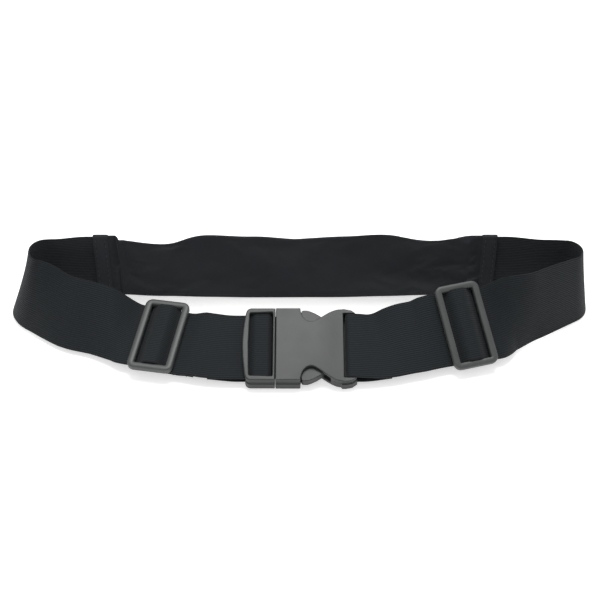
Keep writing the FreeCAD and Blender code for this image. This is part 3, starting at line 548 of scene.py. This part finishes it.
for half, name in ((right_half, "right"), (left_half, "left")):
    place = half.matrix(half.glide_at)
    over = crossing(f"strap_{name}_over_bar", place, hump_path())
    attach(woven(over, f"strap_{name}_hump"), f"{name}_glide")
    around = crossing(f"strap_{name}_round_bar", place, loop_path())
    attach(woven(around, f"strap_{name}_bar_loop"), f"{name}_glide")

# ---------------------------------------------------------------- sewing thread
# Black polyester lockstitch. Three rows across the webbing hold each folded end, and rows up
# each end hem hold the pouch to the webbing. Each stitch is a short bead half sunk in the cloth.


def beads_tree():
    """Beads along a path: the stitches of a seam, or the turns of a zip's coil."""
    tree = bpy.data.node_groups.new("beads", "GeometryNodeTree")
    for label, kind in (("Path", "Geometry"), ("Pitch", "Float"), ("Bead", "Vector"),
                        ("Finish", "Material")):
        tree.interface.new_socket(label, in_out="INPUT", socket_type="NodeSocket" + kind)
    tree.interface.new_socket("Beads", in_out="OUTPUT", socket_type="NodeSocketGeometry")

    def add(kind, settings, links):
        made = tree.nodes.new(kind)
        for name, value in settings.items():
            setattr(made, name, value)
        for name, value in links.items():
            if isinstance(value, bpy.types.NodeSocket):
                tree.links.new(value, made.inputs[name])
            else:
                made.inputs[name].default_value = value
        return made

    given = add("NodeGroupInput", {}, {})
    curve = add("GeometryNodeMeshToCurve", {}, {"Mesh": given.outputs["Path"]})
    even = add("GeometryNodeResampleCurve", {"mode": "LENGTH"},
               {"Curve": curve.outputs[0], "Length": given.outputs["Pitch"]})
    tangent = add("GeometryNodeInputTangent", {}, {})
    turn = add("FunctionNodeAlignRotationToVector", {"axis": "Z"},
               {"Vector": tangent.outputs[0]})
    ball = add("GeometryNodeMeshUVSphere", {}, {"Segments": 8, "Rings": 6, "Radius": 0.5})
    placed = add("GeometryNodeInstanceOnPoints", {},
                 {"Points": even.outputs[0], "Instance": ball.outputs[0],
                  "Rotation": turn.outputs[0], "Scale": given.outputs["Bead"]})
    real = add("GeometryNodeRealizeInstances", {}, {0: placed.outputs[0]})
    smooth = add("GeometryNodeSetShadeSmooth", {}, {0: real.outputs[0]})
    coloured = add("GeometryNodeSetMaterial", {},
                   {"Geometry": smooth.outputs[0], "Material": given.outputs["Finish"]})
    add("NodeGroupOutput", {}, {0: coloured.outputs[0]})
    return tree


beads = beads_tree()


def beaded(name, rows, pitch, bead, material):
    """Beads along rows of points in millimetres, turned into a plain mesh."""
    path = bpy.data.meshes.new(name)
    points, edges = [], []
    for row in rows:
        first = len(points)
        points += [Vector(point) * MM for point in row]
        edges += [(first + index, first + index + 1) for index in range(len(row) - 1)]
    path.from_pydata(points, edges, [])
    made = bpy.data.objects.new(name, path)
    scene.collection.objects.link(made)
    modifier = made.modifiers.new("beads", "NODES")
    modifier.node_group = beads
    values = {"Pitch": pitch * MM, "Bead": Vector(bead) * MM, "Finish": material}
    for item in beads.interface.items_tree:
        if item.name in values:
            modifier[item.identifier] = values[item.name]
    evaluated = made.evaluated_get(bpy.context.evaluated_depsgraph_get())
    mesh = bpy.data.meshes.new_from_object(evaluated)
    made.modifiers.remove(modifier)
    made.data = mesh
    mesh.name = name
    return made


def thread_finish():
    material, shader, start = finish("thread", {"Specular IOR Level": 0.35})
    place = start.node("TexCoord", output="Object")
    twist = start.node("TexWave", {"bands_direction": "DIAGONAL"},
                       {"Vector": place, "Scale": 1400.0, "Distortion": 0.5})
    drive(shader, Base_Color=twist.blended((0.008, 0.009, 0.011, 1), (0.035, 0.037, 0.04, 1)),
          Roughness=twist * 0.2 + 0.5, Normal=raised(start, twist, 0.00006))
    return material


thread = thread_finish()
STITCH_PITCH = 4.1
STITCH = (0.5, 0.5, 2.9)

for half, name in ((right_half, "right"), (left_half, "left")):
    rows = []
    for share in (0.35, 0.5, 0.85):
        point, along, across, outwards = half.frame(half.glide_at - TAIL_LENGTH * share)
        middle = point + outwards * (TAIL - THICK / 2 + 0.02)
        rows.append([middle + across * reach for reach in (-WIDTH / 2 + 2, WIDTH / 2 - 2)])
    sewn = beaded(f"tail_stitches_{name}", rows, STITCH_PITCH, STITCH, thread)
    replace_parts(sewn, f"tail_stitching_{name}")
    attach(sewn, f"{name}_glide")

# ---------------------------------------------------------------- three-bar glides
# One moulding of satin black acetal each: a frame with soft round rails and a thin middle bar
# that the strap's end is sewn round. The strap crosses over the bar and under both rails.


def plastic_finish(name, dark, light, rough):
    material, shader, start = finish(name, {"Specular IOR Level": 0.5})
    place = start.node("TexCoord", output="Object")
    grain = place.cloudy(2600.0, 1.0)
    cloud = place.cloudy(70.0, 3.0)
    drive(shader, Base_Color=(cloud * 0.6 + grain * 0.4).blended(dark, light),
          Roughness=grain * 0.12 + cloud * 0.1 + rough,
          Normal=raised(start, grain, 0.00004, 0.35))
    return material


glide_plastic = plastic_finish("glide_plastic", (0.042, 0.045, 0.046, 1),
                               (0.074, 0.078, 0.077, 1), 0.34)
GLIDE_THICK = 4.6
CORNER_RADIUS = 2.6
SQUARENESS = 0.5
BAR_HALF, BAR_REACH = 2.4, 27.0


def opened(piece, joined=False):
    """Takes off a skin's two end faces. A ring's first and last sections are then joined."""
    body = bmesh.new()
    body.from_mesh(piece.data)
    ends = [face for face in body.faces if len(face.verts) > 4]
    bmesh.ops.delete(body, geom=ends, context="FACES_ONLY")
    if joined:
        bmesh.ops.remove_doubles(body, verts=body.verts, dist=1e-6)
        bmesh.ops.recalc_face_normals(body, faces=body.faces)
    body.to_mesh(piece.data)
    body.free()
    return piece


def glide_frame(name):
    """A rounded section carried round a rectangle with round corners."""
    across, along = GLIDE_WIDTH / 2 - END_RAIL / 2, GLIDE_LENGTH / 2 - RAIL / 2
    rings = []
    angles = np.radians(np.arange(0, 360, 22.5))
    section = np.column_stack([np.sign(wave) * np.abs(wave) ** SQUARENESS
                               for wave in (np.cos(angles), np.sin(angles))])
    middle = GLIDE_FLOOR + GLIDE_THICK / 2
    for corner, (sx, sy) in enumerate(((1, 1), (-1, 1), (-1, -1), (1, -1))):
        for index in range(9):
            turn = math.radians(corner * 90 + index * 11.25)
            out = np.array([math.cos(turn), math.sin(turn), 0.0])
            centre = np.array([sx * (along - CORNER_RADIUS),
                               sy * (across - CORNER_RADIUS), middle])
            half_width = (RAIL * abs(out[0]) ** 2 + END_RAIL * abs(out[1]) ** 2) / 2
            ring = (centre + out * CORNER_RADIUS + section[:, :1] * out * half_width
                    + section[:, 1:] * np.array([0, 0, GLIDE_THICK / 2]))
            rings.append(ring)
    rings.append(rings[0])
    made = skinned(name, rings, np.zeros(len(section)), np.zeros(len(rings)))
    return opened(made, joined=True)


def solid(outline, low, high):
    """A closed block over an outline of x, y points, all in millimetres."""
    mesh = bpy.data.meshes.new("block")
    count = len(outline)
    points = [(x * MM, y * MM, z * MM) for z in (low, high) for x, y in outline]
    faces = [list(range(count))[::-1], list(range(count, 2 * count))]
    faces += [(index, (index + 1) % count, (index + 1) % count + count, index + count)
              for index in range(count)]
    mesh.from_pydata(points, [], faces)
    body = bmesh.new()
    body.from_mesh(mesh)
    bmesh.ops.recalc_face_normals(body, faces=body.faces)
    body.to_mesh(mesh)
    body.free()
    made = bpy.data.objects.new("block", mesh)
    scene.collection.objects.link(made)
    return made


def box(low, high):
    """A closed block between two corners, in millimetres."""
    return solid([(low[0], low[1]), (high[0], low[1]), (high[0], high[1]), (low[0], high[1])],
                 low[2], high[2])


def settled(piece):
    """Makes a piece's modifiers part of its mesh."""
    evaluated = piece.evaluated_get(bpy.context.evaluated_depsgraph_get())
    mesh = bpy.data.meshes.new_from_object(evaluated)
    piece.modifiers.clear()
    piece.data = mesh
    return piece


def combined(first, others, operation):
    """Adds blocks to the first, or cuts them from it."""
    for other in others:
        modifier = first.modifiers.new("combine", "BOOLEAN")
        modifier.operation = operation
        modifier.solver = "EXACT"
        modifier.object = other
        settled(first)
        bpy.data.objects.remove(other)
    return first


def moulded(name, block, voxel, rounds, shape=None):
    """Gives a hard-edged block the even, slightly rounded skin of a moulding."""
    remesh = block.modifiers.new("skin", "REMESH")
    remesh.mode = "VOXEL"
    remesh.voxel_size = voxel * MM
    soften = block.modifiers.new("soften", "SMOOTH")
    soften.factor = 0.5
    soften.iterations = rounds
    settled(block)
    mesh = block.data
    if shape is not None:
        points = np.empty(len(mesh.vertices) * 3)
        mesh.vertices.foreach_get("co", points)
        points = shape(points.reshape(-1, 3) / MM) * MM
        mesh.vertices.foreach_set("co", points.ravel())
        mesh.update()
    mesh.shade_smooth()
    block.name = name
    mesh.name = name
    return block


for half, name in ((right_half, "right"), (left_half, "left")):
    hoop = glide_frame(f"glide_{name}")
    bar = moulded(f"glide_{name}_bar", box((-BAR_HALF, -BAR_REACH, BAR_LOW),
                                           (BAR_HALF, BAR_REACH, BAR_HIGH)), 0.35, 3)
    combined(hoop, [bar], "UNION")
    hoop.data.transform(half.matrix(half.glide_at))
    hoop.data.materials.clear()
    hoop.data.materials.append(glide_plastic)
    hoop.data.shade_smooth()
    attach(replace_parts(hoop, f"tri_glide_{name}"), f"{name}_glide")

# ---------------------------------------------------------------- side-release buckle
# Two mouldings of black acetal with a fine matt grain. The socket is a flat shell with an
# arched opening at each side for a finger, and the clip pushes two springy arms into it. Each
# half has a bar that its strap goes round.

buckle_plastic = plastic_finish("buckle_plastic", (0.018, 0.020, 0.020, 1),
                                (0.032, 0.035, 0.034, 1), 0.36)
BUCKLE_HALF, INSIDE_HALF = 27.5, 24.5
BUCKLE_TOP = 5.5
FLOOR = -3.9
MOUTH = -15.5
WAIST_SHARE, WAIST_END, LOWER_SHARE = 0.93, -36.0, 1.035
OPENING_START, OPENING_MIDDLE, OPENING_END = 0.6, 7.6, 27.0
OPENING_DEPTH = 10.6
THROUGH = 9.0
GRAIN, ROUNDS = 0.42, 4
buckle_place = right_half.matrix(0.0)


def arc(centre, radii, first, last, count):
    """Points on an arc about a centre, with a radius for x and one for y, in degrees."""
    angles = np.radians(np.linspace(first, last, count))
    return [(centre[0] + radii[0] * math.cos(a), centre[1] + radii[1] * math.sin(a))
            for a in angles]


def finger_opening(side):
    """The arched cut at one side: steep next to the mouth, easing out to the shoulder."""
    steep = arc((OPENING_MIDDLE, BUCKLE_HALF), (7.0, OPENING_DEPTH), 180, 270, 10)
    easy = [(OPENING_MIDDLE + 19.4 * share,
             BUCKLE_HALF - OPENING_DEPTH * (1 - eased(share) ** 0.8))
            for share in np.linspace(0.06, 1.0, 14)]
    outline = steep + easy + [(OPENING_END, 40.0), (OPENING_START, 40.0)]
    return [(x, y * side) for x, y in outline]


def crowned(points):
    """Bows the buckle's faces and lets them fall away to the strap."""
    x, y, z = points.T
    fall = np.array([eased((value - 8.0) / 26.0) for value in x])
    scale = 1 - 0.10 * (y / BUCKLE_HALF) ** 2 - 0.33 * fall * (z > 0)
    return np.column_stack([x, y, z * scale])


def waisted(outline, top):
    """A slab with a groove round its side, and its lower half a little wider."""
    slab = solid(outline, 1.4, top)
    waist = [(max(x, WAIST_END), y * WAIST_SHARE) for x, y in outline]
    lower = [(x, y * LOWER_SHARE) for x, y in outline]
    return combined(slab, [solid(waist, 0.2, 1.8), solid(lower, -top, 0.5)], "UNION")


def buckle_socket():
    upper = [(MOUTH, -BUCKLE_HALF), (26.0, -BUCKLE_HALF), (29.5, -BUCKLE_HALF - 0.3),
             (34.0, -BUCKLE_HALF + 0.6), (37.3, -BUCKLE_HALF + 3.2)]
    upper += [(x, -y) for x, y in upper[::-1]]
    shell = waisted(upper, BUCKLE_TOP)
    cuts = [solid(finger_opening(side), -THROUGH, THROUGH) for side in (1, -1)]
    cuts.append(box((MOUTH - 1, -INSIDE_HALF, -3.0), (26.0, INSIDE_HALF, 3.0)))
    # The slot before the bar, the room above and below the bar, and the end behind it.
    wide = INSIDE_HALF + 0.2
    for start, end, low, high in ((28.6, 31.2, FLOOR, THROUGH), (30.6, 40.0, 1.9, THROUGH),
                                  (30.6, 36.2, FLOOR, -1.9), (36.0, 40.0, -THROUGH, THROUGH)):
        cuts.append(box((start, -wide, low), (end, wide, high)))
    combined(shell, cuts, "DIFFERENCE")
    return moulded("buckle_socket_shell", shell, GRAIN, ROUNDS, crowned)


def buckle_clip():
    rim = MOUTH - 0.3
    outline = [(rim, -BUCKLE_HALF), (rim, BUCKLE_HALF), (-31.5, BUCKLE_HALF)]
    outline += [(-31.5 - 3.4 * math.sin(a), BUCKLE_HALF - 3.4 * (1 - math.cos(a)))
                for a in np.radians([25, 50, 75])]
    outline += [(-35.2 - 1.9 * math.cos(math.pi / 2 * y / 24), y)
                for y in np.linspace(23.0, -23.0, 17)]
    outline += [(x, -y) for x, y in outline[2:6][::-1]]
    body = waisted(outline, BUCKLE_TOP - 0.2)
    window = [(-32.6, -INSIDE_HALF + 0.6), (-33.2, 0), (-32.6, INSIDE_HALF - 0.6),
              (rim - 1.6, INSIDE_HALF), (rim - 1.6, -INSIDE_HALF)]
    combined(body, [solid(window, FLOOR, THROUGH),
                    box((-40, -INSIDE_HALF, -THROUGH), (-31, INSIDE_HALF, 1.5))],
             "DIFFERENCE")
    # The bar that the strap goes round, the tongue at the rim, and the guide between the arms.
    guide = [(rim - 1.0, -4), (rim + 24, -4), (rim + 28, -2), (rim + 28, 2), (rim + 24, 4),
             (rim - 1.0, 4)]
    combined(body, [box((-29.4, -INSIDE_HALF - 1, -2), (-19.4, INSIDE_HALF + 1, 2)),
                    box((rim - 1.0, -22.0, -2.3), (rim + 1.5, 22.0, 2.3)),
                    solid(guide, -2.4, 2.4)], "UNION")
    return moulded("buckle_clip_frame", body, GRAIN, ROUNDS, crowned)


def latch_arm(name, side):
    """A thin spring from the clip that ends in a thick rounded head."""
    outer = [(-15.2, 18.0), (-5.0, 19.0), (0.4, 21.6)]
    outer += [(1.0 + 2.0 * (1 - math.cos(a)), 25.2 + 2.0 * math.sin(a))
              for a in np.radians([10, 45, 80])]
    outer += [(3.0 + 14.0 * share, 27.3 - 7.6 * share ** 1.7)
              for share in np.linspace(0.1, 1.0, 9)]
    outline = outer + [(22.5, 15.5), (21.0, 12.2), (3.0, 15.6), (-15.2, 14.0)]
    arm = solid([(x, y * side) for x, y in outline], -2.8, 2.8)
    return moulded(name, arm, 0.4, 4)


for piece, node, body in ((buckle_socket(), "buckle_socket", "root"),
                          (buckle_clip(), "buckle_clip", "clip_half"),
                          (latch_arm("arm_upper", 1), "latch_arm_upper", "upper_arm"),
                          (latch_arm("arm_lower", -1), "latch_arm_lower", "lower_arm")):
    piece.data.transform(buckle_place)
    piece.data.materials.clear()
    piece.data.materials.append(buckle_plastic)
    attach(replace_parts(piece, node), body)

# ---------------------------------------------------------------- pouch
# A flat pocket of black stretch cloth, closed all round and sewn over the webbing at both
# ends. It runs almost straight along its foot, sags softly between its ends, and has a zip
# along its outer side.

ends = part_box("pouch_inner_panel")
POUCH_LOW, POUCH_HIGH = ends[0].x / MM, ends[1].x / MM
SPAN = POUCH_HIGH - POUCH_LOW
POUCH_HEIGHT = 52.0
POUCH_BOW = 2.0
FLAT_END = 16.5
SEAM_LINE = REAR_LINE + THICK / 2
POCKET_HALF = 0.8
CLOTH = 1.0
POUCH_AROUND, POUCH_STEP = 64, 1.9
SLOT_HALF = 3.6
CLOTH_REACH = 2.6
LOWEST = 0.35
ZIP_Z, ZIP_LINE, ZIP_MARGIN = 35.0, 47.0, 22.0

# Share of the pouch's length, share of the bow, step of its upper fold outwards, its rise.
POUCH_LIE = [
    (0.0, 0.0, 0.0, 0.0), (FLAT_END / SPAN, 0.0, 0.0, 0.0),
    (0.07, 0.10, -1.5, -2.6), (0.17, 0.36, -2.5, -3.2), (0.29, 0.74, 0.5, 0.8),
    (0.40, 0.96, 0.0, -0.4), (0.51, 1.00, -0.5, -1.4), (0.63, 0.98, 0.0, -0.4),
    (0.73, 0.82, 0.8, 0.8), (0.84, 0.46, -1.0, -2.2), (0.93, 0.14, 0.0, -0.2),
    (1 - FLAT_END / SPAN, 0.0, 0.0, 0.0), (1.0, 0.0, 0.0, 0.0),
]


def pouch_section(x):
    """A closed ring round the pouch at x, evenly spaced, from its foot up the outer side."""
    bow, step, rise = between(POUCH_LIE, (x - POUCH_LOW) / SPAN)
    low, high, height = SEAM_LINE - POUCH_BOW * bow, SEAM_LINE + step, POUCH_HEIGHT + rise
    ramp = eased((min(x - POUCH_LOW, POUCH_HIGH - x) - FLAT_END) / ZIP_MARGIN)
    share = ZIP_Z / height
    short = ZIP_LINE - 0.6 - POCKET_HALF - (low + (high - low) * share)
    outer = 0.3 + ramp * max(0.0, short) / (4 * share * (1 - share))
    inner = 0.3 + 0.3 * (SEAM_LINE - low)
    turn = np.linspace(0, 2 * np.pi, 721)[:-1]
    up = 0.5 - 0.5 * np.cos(turn)
    edge = (POCKET_HALF + CLOTH) * np.abs(np.sin(turn)) ** 0.35
    swell = np.where(np.sin(turn) > 0, outer, inner) * 4 * up * (1 - up)
    y = low + (high - low) * up + np.sign(np.sin(turn)) * (edge + swell)
    ring = np.column_stack([y, height * up])
    ring = np.vstack([ring, ring[:1]])
    travelled = np.concatenate([[0], np.cumsum(np.linalg.norm(np.diff(ring, axis=0), axis=1))])
    places = np.linspace(0, travelled[-1], POUCH_AROUND + 1)[:-1]
    y, z = (np.interp(places, travelled, ring[:, axis]) for axis in (0, 1))
    return np.column_stack([np.full(POUCH_AROUND, x), y, z]), places


def pouch_shell(name):
    rings, marks, steps = [], [], []
    for x in spaced(POUCH_LOW, POUCH_HIGH, POUCH_STEP):
        ring, places = pouch_section(x)
        rings.append(ring)
        marks.append(places)
        steps.append(x)
    return opened(skinned(name, rings, marks, steps))


def points_of(piece):
    points = np.empty(len(piece.data.vertices) * 3)
    piece.data.vertices.foreach_get("co", points)
    return points.reshape(-1, 3) / MM


def slackened(piece, most):
    """Lets the cloth fall into its own soft folds between its sewn ends, up to a distance."""
    rest = points_of(piece)
    held = piece.vertex_groups.new(name="sewn")
    for index, point in enumerate(rest):
        near = min(point[0] - POUCH_LOW, POUCH_HIGH - point[0])
        held.add([index], 1 - eased((near - 9.0) / 6.0) * 0.97, "REPLACE")
    cloth = piece.modifiers.new("cloth", "CLOTH")
    wear = cloth.settings
    wear.quality = 6
    wear.mass = 0.2
    wear.tension_stiffness = wear.compression_stiffness = 8.0
    wear.shear_stiffness = 3.0
    wear.bending_stiffness = 0.05
    wear.vertex_group_mass = "sewn"
    wear.effector_weights.gravity = 0.0
    wear.use_pressure = True
    wear.uniform_pressure_force = 0.35
    wear.shrink_min = -0.035
    cloth.collision_settings.use_collision = False
    for step in range(1, 26):
        scene.frame_set(step)
    settled(piece)
    scene.frame_set(1)
    moved = points_of(piece) - rest
    reach = np.linalg.norm(moved, axis=1, keepdims=True)
    moved *= np.minimum(1.0, most / np.maximum(reach, 1e-6))
    piece.data.vertices.foreach_set("co", ((rest + moved) * MM).ravel())
    piece.vertex_groups.clear()


def creased(points):
    """The fold that runs up from the pouch's foot to its right end on the inner side."""
    foot, top = np.array([93.0, 0.0]), np.array([124.8, 17.5])
    run = top - foot
    length = np.linalg.norm(run)
    run /= length
    normal = np.array([-run[1], run[0]])
    offset = points[:, [0, 2]] - foot
    along = offset @ run / length
    above = offset @ normal
    fade = np.array([eased((a + 0.12) / 0.3) * (1 - eased((a - 0.86) / 0.22)) for a in along])
    inner = points[:, 1] < SEAM_LINE - 0.4
    fold = (1.0 * np.exp(-((above - 3.4) / 3.0) ** 2) - 1.3 * np.exp(-(above / 1.8) ** 2)
            + 0.7 * np.exp(-((above + 3.6) / 2.6) ** 2))
    points[:, 1] -= fold * fade * inner
    return points


pouch = pouch_shell("pouch_body")
slackened(pouch, CLOTH_REACH)
shaped = creased(points_of(pouch))
shaped[:, 2] = np.maximum(shaped[:, 2], LOWEST)
pouch.data.vertices.foreach_set("co", (shaped * MM).ravel())
body = bmesh.new()
body.from_mesh(pouch.data)
slot = []
for face in body.faces:
    middle = face.calc_center_median() / MM
    inside = POUCH_LOW + ZIP_MARGIN < middle.x < POUCH_HIGH - ZIP_MARGIN
    if inside and abs(middle.z - ZIP_Z) < SLOT_HALF and face.normal.y > 0:
        slot.append(face)
bmesh.ops.delete(body, geom=slot, context="FACES")
body.to_mesh(pouch.data)
body.free()
sheet = pouch.modifiers.new("cloth_thickness", "SOLIDIFY")
sheet.thickness = 0.7 * MM
sheet.offset = -1
sheet.use_even_offset = False
finer = pouch.modifiers.new("finer", "SUBSURF")
finer.levels = finer.render_levels = 1
settled(pouch)
pouch.data.shade_smooth()


def pouch_finish(name, painted_lightness):
    """The stretch cloth, its colour scaled by a factor; the hems' lighter copy is painted light.
    """

    def toned(*colour):
        return (*(channel * painted_lightness for channel in colour), 1)

    material, shader, start = finish(name, {"Specular IOR Level": 0.2,
                                            "Sheen Weight": 0.12,
                                            "Sheen Roughness": 0.4})
    place = start.node("TexCoord", output="Object")
    length = place.node("SeparateXYZ", {}, {0: place})
    height = length.other(2)
    turn = 2 * math.pi / 0.0006
    knit = (start.math("SINE", length * turn) * start.math("SINE", height * turn)) * 0.5 + 0.5
    cloud = place.cloudy(38.0, 4.0)
    hue = place.cloudy(110.0, 2.0)
    fibre = knit * 0.45 + cloud * 0.55
    base = fibre.blended(toned(0.008, 0.008, 0.011), toned(0.026, 0.027, 0.034))
    warm = fibre.blended(toned(0.009, 0.010, 0.011), toned(0.025, 0.029, 0.031))
    drive(shader, Base_Color=hue.blended(base, warm), Roughness=cloud * 0.1 + 0.82,
          Normal=raised(start, knit * 0.7 + cloud * 0.6, 0.00012, 0.6))
    return material


pouch_cloth = pouch_finish("pouch_cloth", 1.0)
pouch.data.materials.clear()
pouch.data.materials.append(pouch_cloth)
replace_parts(pouch, "pouch_inner_panel", "pouch_outer_panel_upper", "pouch_outer_panel_lower")
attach(pouch, "root")

# ---------------------------------------------------------------- end hems
# At each end the pouch's cloth is folded in on itself and sewn through the webbing, which
# leaves a flat band up both faces with two rows of stitches.

# The hems' cloth is the pouch's cloth made a quarter lighter, as painted light.
hem_cloth = pouch_finish("hem_cloth", 1.25)
HEM_WIDTH = 10.0
HEM_AROUND = 108.0


def hem(name, low_x):
    """A flat soft band round the pouch's end, open where the webbing comes out."""
    rings, steps = [], []
    around = np.linspace(0, 2 * np.pi, 97)[:-1]
    for index, x in enumerate(np.linspace(low_x, low_x + HEM_WIDTH, 15)):
        edge = min(index, 14 - index)
        lift = 2.25 + 0.3 * eased(edge / 2)
        up = 0.5 - 0.5 * np.cos(around)
        y = SEAM_LINE + np.sign(np.sin(around)) * lift * np.abs(np.sin(around)) ** 0.3
        z = 0.5 + (POUCH_HEIGHT - 0.5) * up
        rings.append(np.column_stack([np.full(len(around), x), y, z]))
        steps.append(x)
    made = opened(skinned(name, rings, np.linspace(0, HEM_AROUND, len(around)), steps))
    wall = made.modifiers.new("wall", "SOLIDIFY")
    wall.thickness = 0.6 * MM
    wall.offset = -1
    settled(made)
    made.data.materials.append(hem_cloth)
    return made


for name, low_x in (("left", POUCH_LOW), ("right", POUCH_HIGH - HEM_WIDTH)):
    band = hem(f"hem_{name}", low_x)
    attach(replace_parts(band, f"end_hem_{name}"), "root")
    rows = []
    for face in (-1, 1):
        for inset in (1.8, HEM_WIDTH - 1.8):
            rows.append([(low_x + inset, SEAM_LINE + face * 2.57, z)
                         for z in (3.0, POUCH_HEIGHT - 3.0)])
    sewn = beaded(f"hem_stitches_{name}", rows, STITCH_PITCH, STITCH, thread)
    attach(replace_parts(sewn, f"hem_stitching_{name}"), "root")

# ---------------------------------------------------------------- zip
# A nylon coil zip on woven tape, closed by a metal slider near the pouch's right end. The
# slider's bridge holds a flat pull with an eye.


def zip_cloth_finish():
    material, shader, start = finish("zip_tape", {"Specular IOR Level": 0.2})
    place = start.node("TexCoord", output="Object")
    length = place.node("SeparateXYZ", {}, {0: place})
    height = length.other(2)
    twill = start.math("SINE", (length + height) * (2 * math.pi / 0.0009)) * 0.5 + 0.5
    drive(shader, Base_Color=twill.blended((0.008, 0.008, 0.009, 1), (0.030, 0.030, 0.033, 1)),
          Roughness=twill * 0.1 + 0.8, Normal=raised(start, twill, 0.00008))
    return material


def metal_finish():
    material, shader, start = finish("zip_metal", {"Specular IOR Level": 0.5})
    place = start.node("TexCoord", output="Object")
    cloud = place.cloudy(260.0, 3.0)
    grain = place.cloudy(3000.0, 1.0)
    drive(shader, Base_Color=cloud.blended((0.10, 0.10, 0.105, 1), (0.20, 0.20, 0.205, 1)),
          Metallic=grain * 0.1 + 0.85, Roughness=cloud * 0.2 + grain * 0.1 + 0.25,
          Normal=raised(start, grain, 0.00002, 0.4))
    return material


zip_tape = zip_cloth_finish()
zip_metal = metal_finish()
zip_nylon = plastic_finish("zip_coil", (0.012, 0.012, 0.013, 1), (0.03, 0.03, 0.032, 1), 0.3)
COIL_PITCH = 1.3
COIL_SIDE, TAPE_SIDE, TAPE_SINK = 0.25, 7.5, 2.2
for side, name in ((1, "upper"), (-1, "lower")):
    low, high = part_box(f"zip_tape_{name}")
    rings = []
    for x in spaced(low.x / MM, high.x / MM, 3.0):
        near, far = ZIP_Z + side * COIL_SIDE, ZIP_Z + side * TAPE_SIDE
        back = [(ZIP_LINE - 0.35 - TAPE_SINK * eased(share), near + (far - near) * share)
                for share in np.linspace(0, 1, 9)]
        outline = back + [(y - 0.5, z) for y, z in back[::-1]]
        rings.append([(x, y, z) for y, z in outline])
    tape = skinned(f"zip_cloth_{name}", rings, np.linspace(0, 16, len(rings[0])),
                   [ring[0][0] for ring in rings])
    tape.data.materials.append(zip_tape)
    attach(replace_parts(tape, f"zip_tape_{name}"), "root")
    low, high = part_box(f"zip_coil_{name}")
    middle = (low + high) / 2 / MM
    row = [[(low.x / MM + (0.0 if side > 0 else COIL_PITCH / 2), middle.y, middle.z),
            (high.x / MM, middle.y, middle.z)]]
    coil = beaded(f"zip_teeth_{name}", row, COIL_PITCH, (2.7, 1.6, 1.1), zip_nylon)
    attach(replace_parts(coil, f"zip_coil_{name}"), "root")


def on_zip(y):
    """Stands a flat outline up on the zip's middle line, at y in millimetres."""
    return (Matrix.Translation((0, y * MM, ZIP_Z * MM))
            @ Matrix.Rotation(math.pi / 2, 4, "X"))


def rounded(name, block, width, body, node):
    """Rounds a small metal part's edges and hands it to its body."""
    bevel = block.modifiers.new("edges", "BEVEL")
    bevel.width = width * MM
    bevel.segments = 3
    settled(block)
    block.name = name
    block.data.materials.clear()
    block.data.materials.append(zip_metal)
    block.data.shade_smooth()
    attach(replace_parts(block, node), body)


low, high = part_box("zip_stops")
clamps = [box((x, low.y / MM, low.z / MM), (x + 2, high.y / MM, high.z / MM))
          for x in (low.x / MM, high.x / MM - 2)]
bpy.context.view_layer.update()
ends_of_zip = combined(clamps[0], clamps[1:], "UNION")
rounded("zip_end_clamps", ends_of_zip, 0.4, "root", "zip_stops")

low, high = (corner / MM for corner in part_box("zip_slider"))
plate_y = ZIP_LINE + 1.8
nose = [(low.x, -2.2), (low.x + 2.0, -3.5), (high.x - 1.5, -3.5), (high.x, -2.6),
        (high.x, 2.6), (high.x - 1.5, 3.5), (low.x + 2.0, 3.5), (low.x, 2.2)]
plate = solid(nose, -1.2, 0.0)
plate.data.transform(on_zip(plate_y))
centre_x = (low.x + high.x) / 2
extras = [box((low.x, ZIP_LINE, ZIP_Z + side * 3.05 - 0.45),
              (high.x, plate_y + 0.3, ZIP_Z + side * 3.05 + 0.45)) for side in (1, -1)]
extras += [box((centre_x + x, plate_y + 0.6, ZIP_Z - 1.2),
               (centre_x + x + 1.2, plate_y + 3.6, ZIP_Z + 1.2)) for x in (-3.0, 1.8)]
extras.append(box((centre_x - 3.0, plate_y + 3.0, ZIP_Z - 1.2),
                  (centre_x + 3.0, plate_y + 4.0, ZIP_Z + 1.2)))
combined(plate, extras, "UNION")
rounded("zip_slider_body", plate, 0.22, "zip_slider", "zip_slider")

low, high = (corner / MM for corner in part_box("zip_pull"))
pull_y = (low.y + high.y) / 2
pin_x = high.x - 0.6
half_width = 3.0
tab = [(low.x + 1.2, -half_width), (pin_x + 0.5, -2.6), (pin_x + 0.5, 2.6),
       (low.x + 1.2, half_width)]
tab += [(low.x + 1.2 - 1.2 * math.sin(a), half_width * math.cos(a))
        for a in np.radians([40, 90, 140])]
pull = solid(tab, -0.6, 0.6)
eyes = [solid([(pin_x - 6.4, -1.6), (pin_x - 0.6, -1.6), (pin_x - 0.6, 1.6),
               (pin_x - 6.4, 1.6)], -2, 2),
        solid(arc((low.x + 4.4, 0.0), (1.7, 1.7), 0, 345, 20), -2, 2)]
combined(pull, eyes, "DIFFERENCE")
pull.data.transform(on_zip(pull_y))
rounded("zip_pull_tab", pull, 0.25, "zip_pull", "zip_pull")
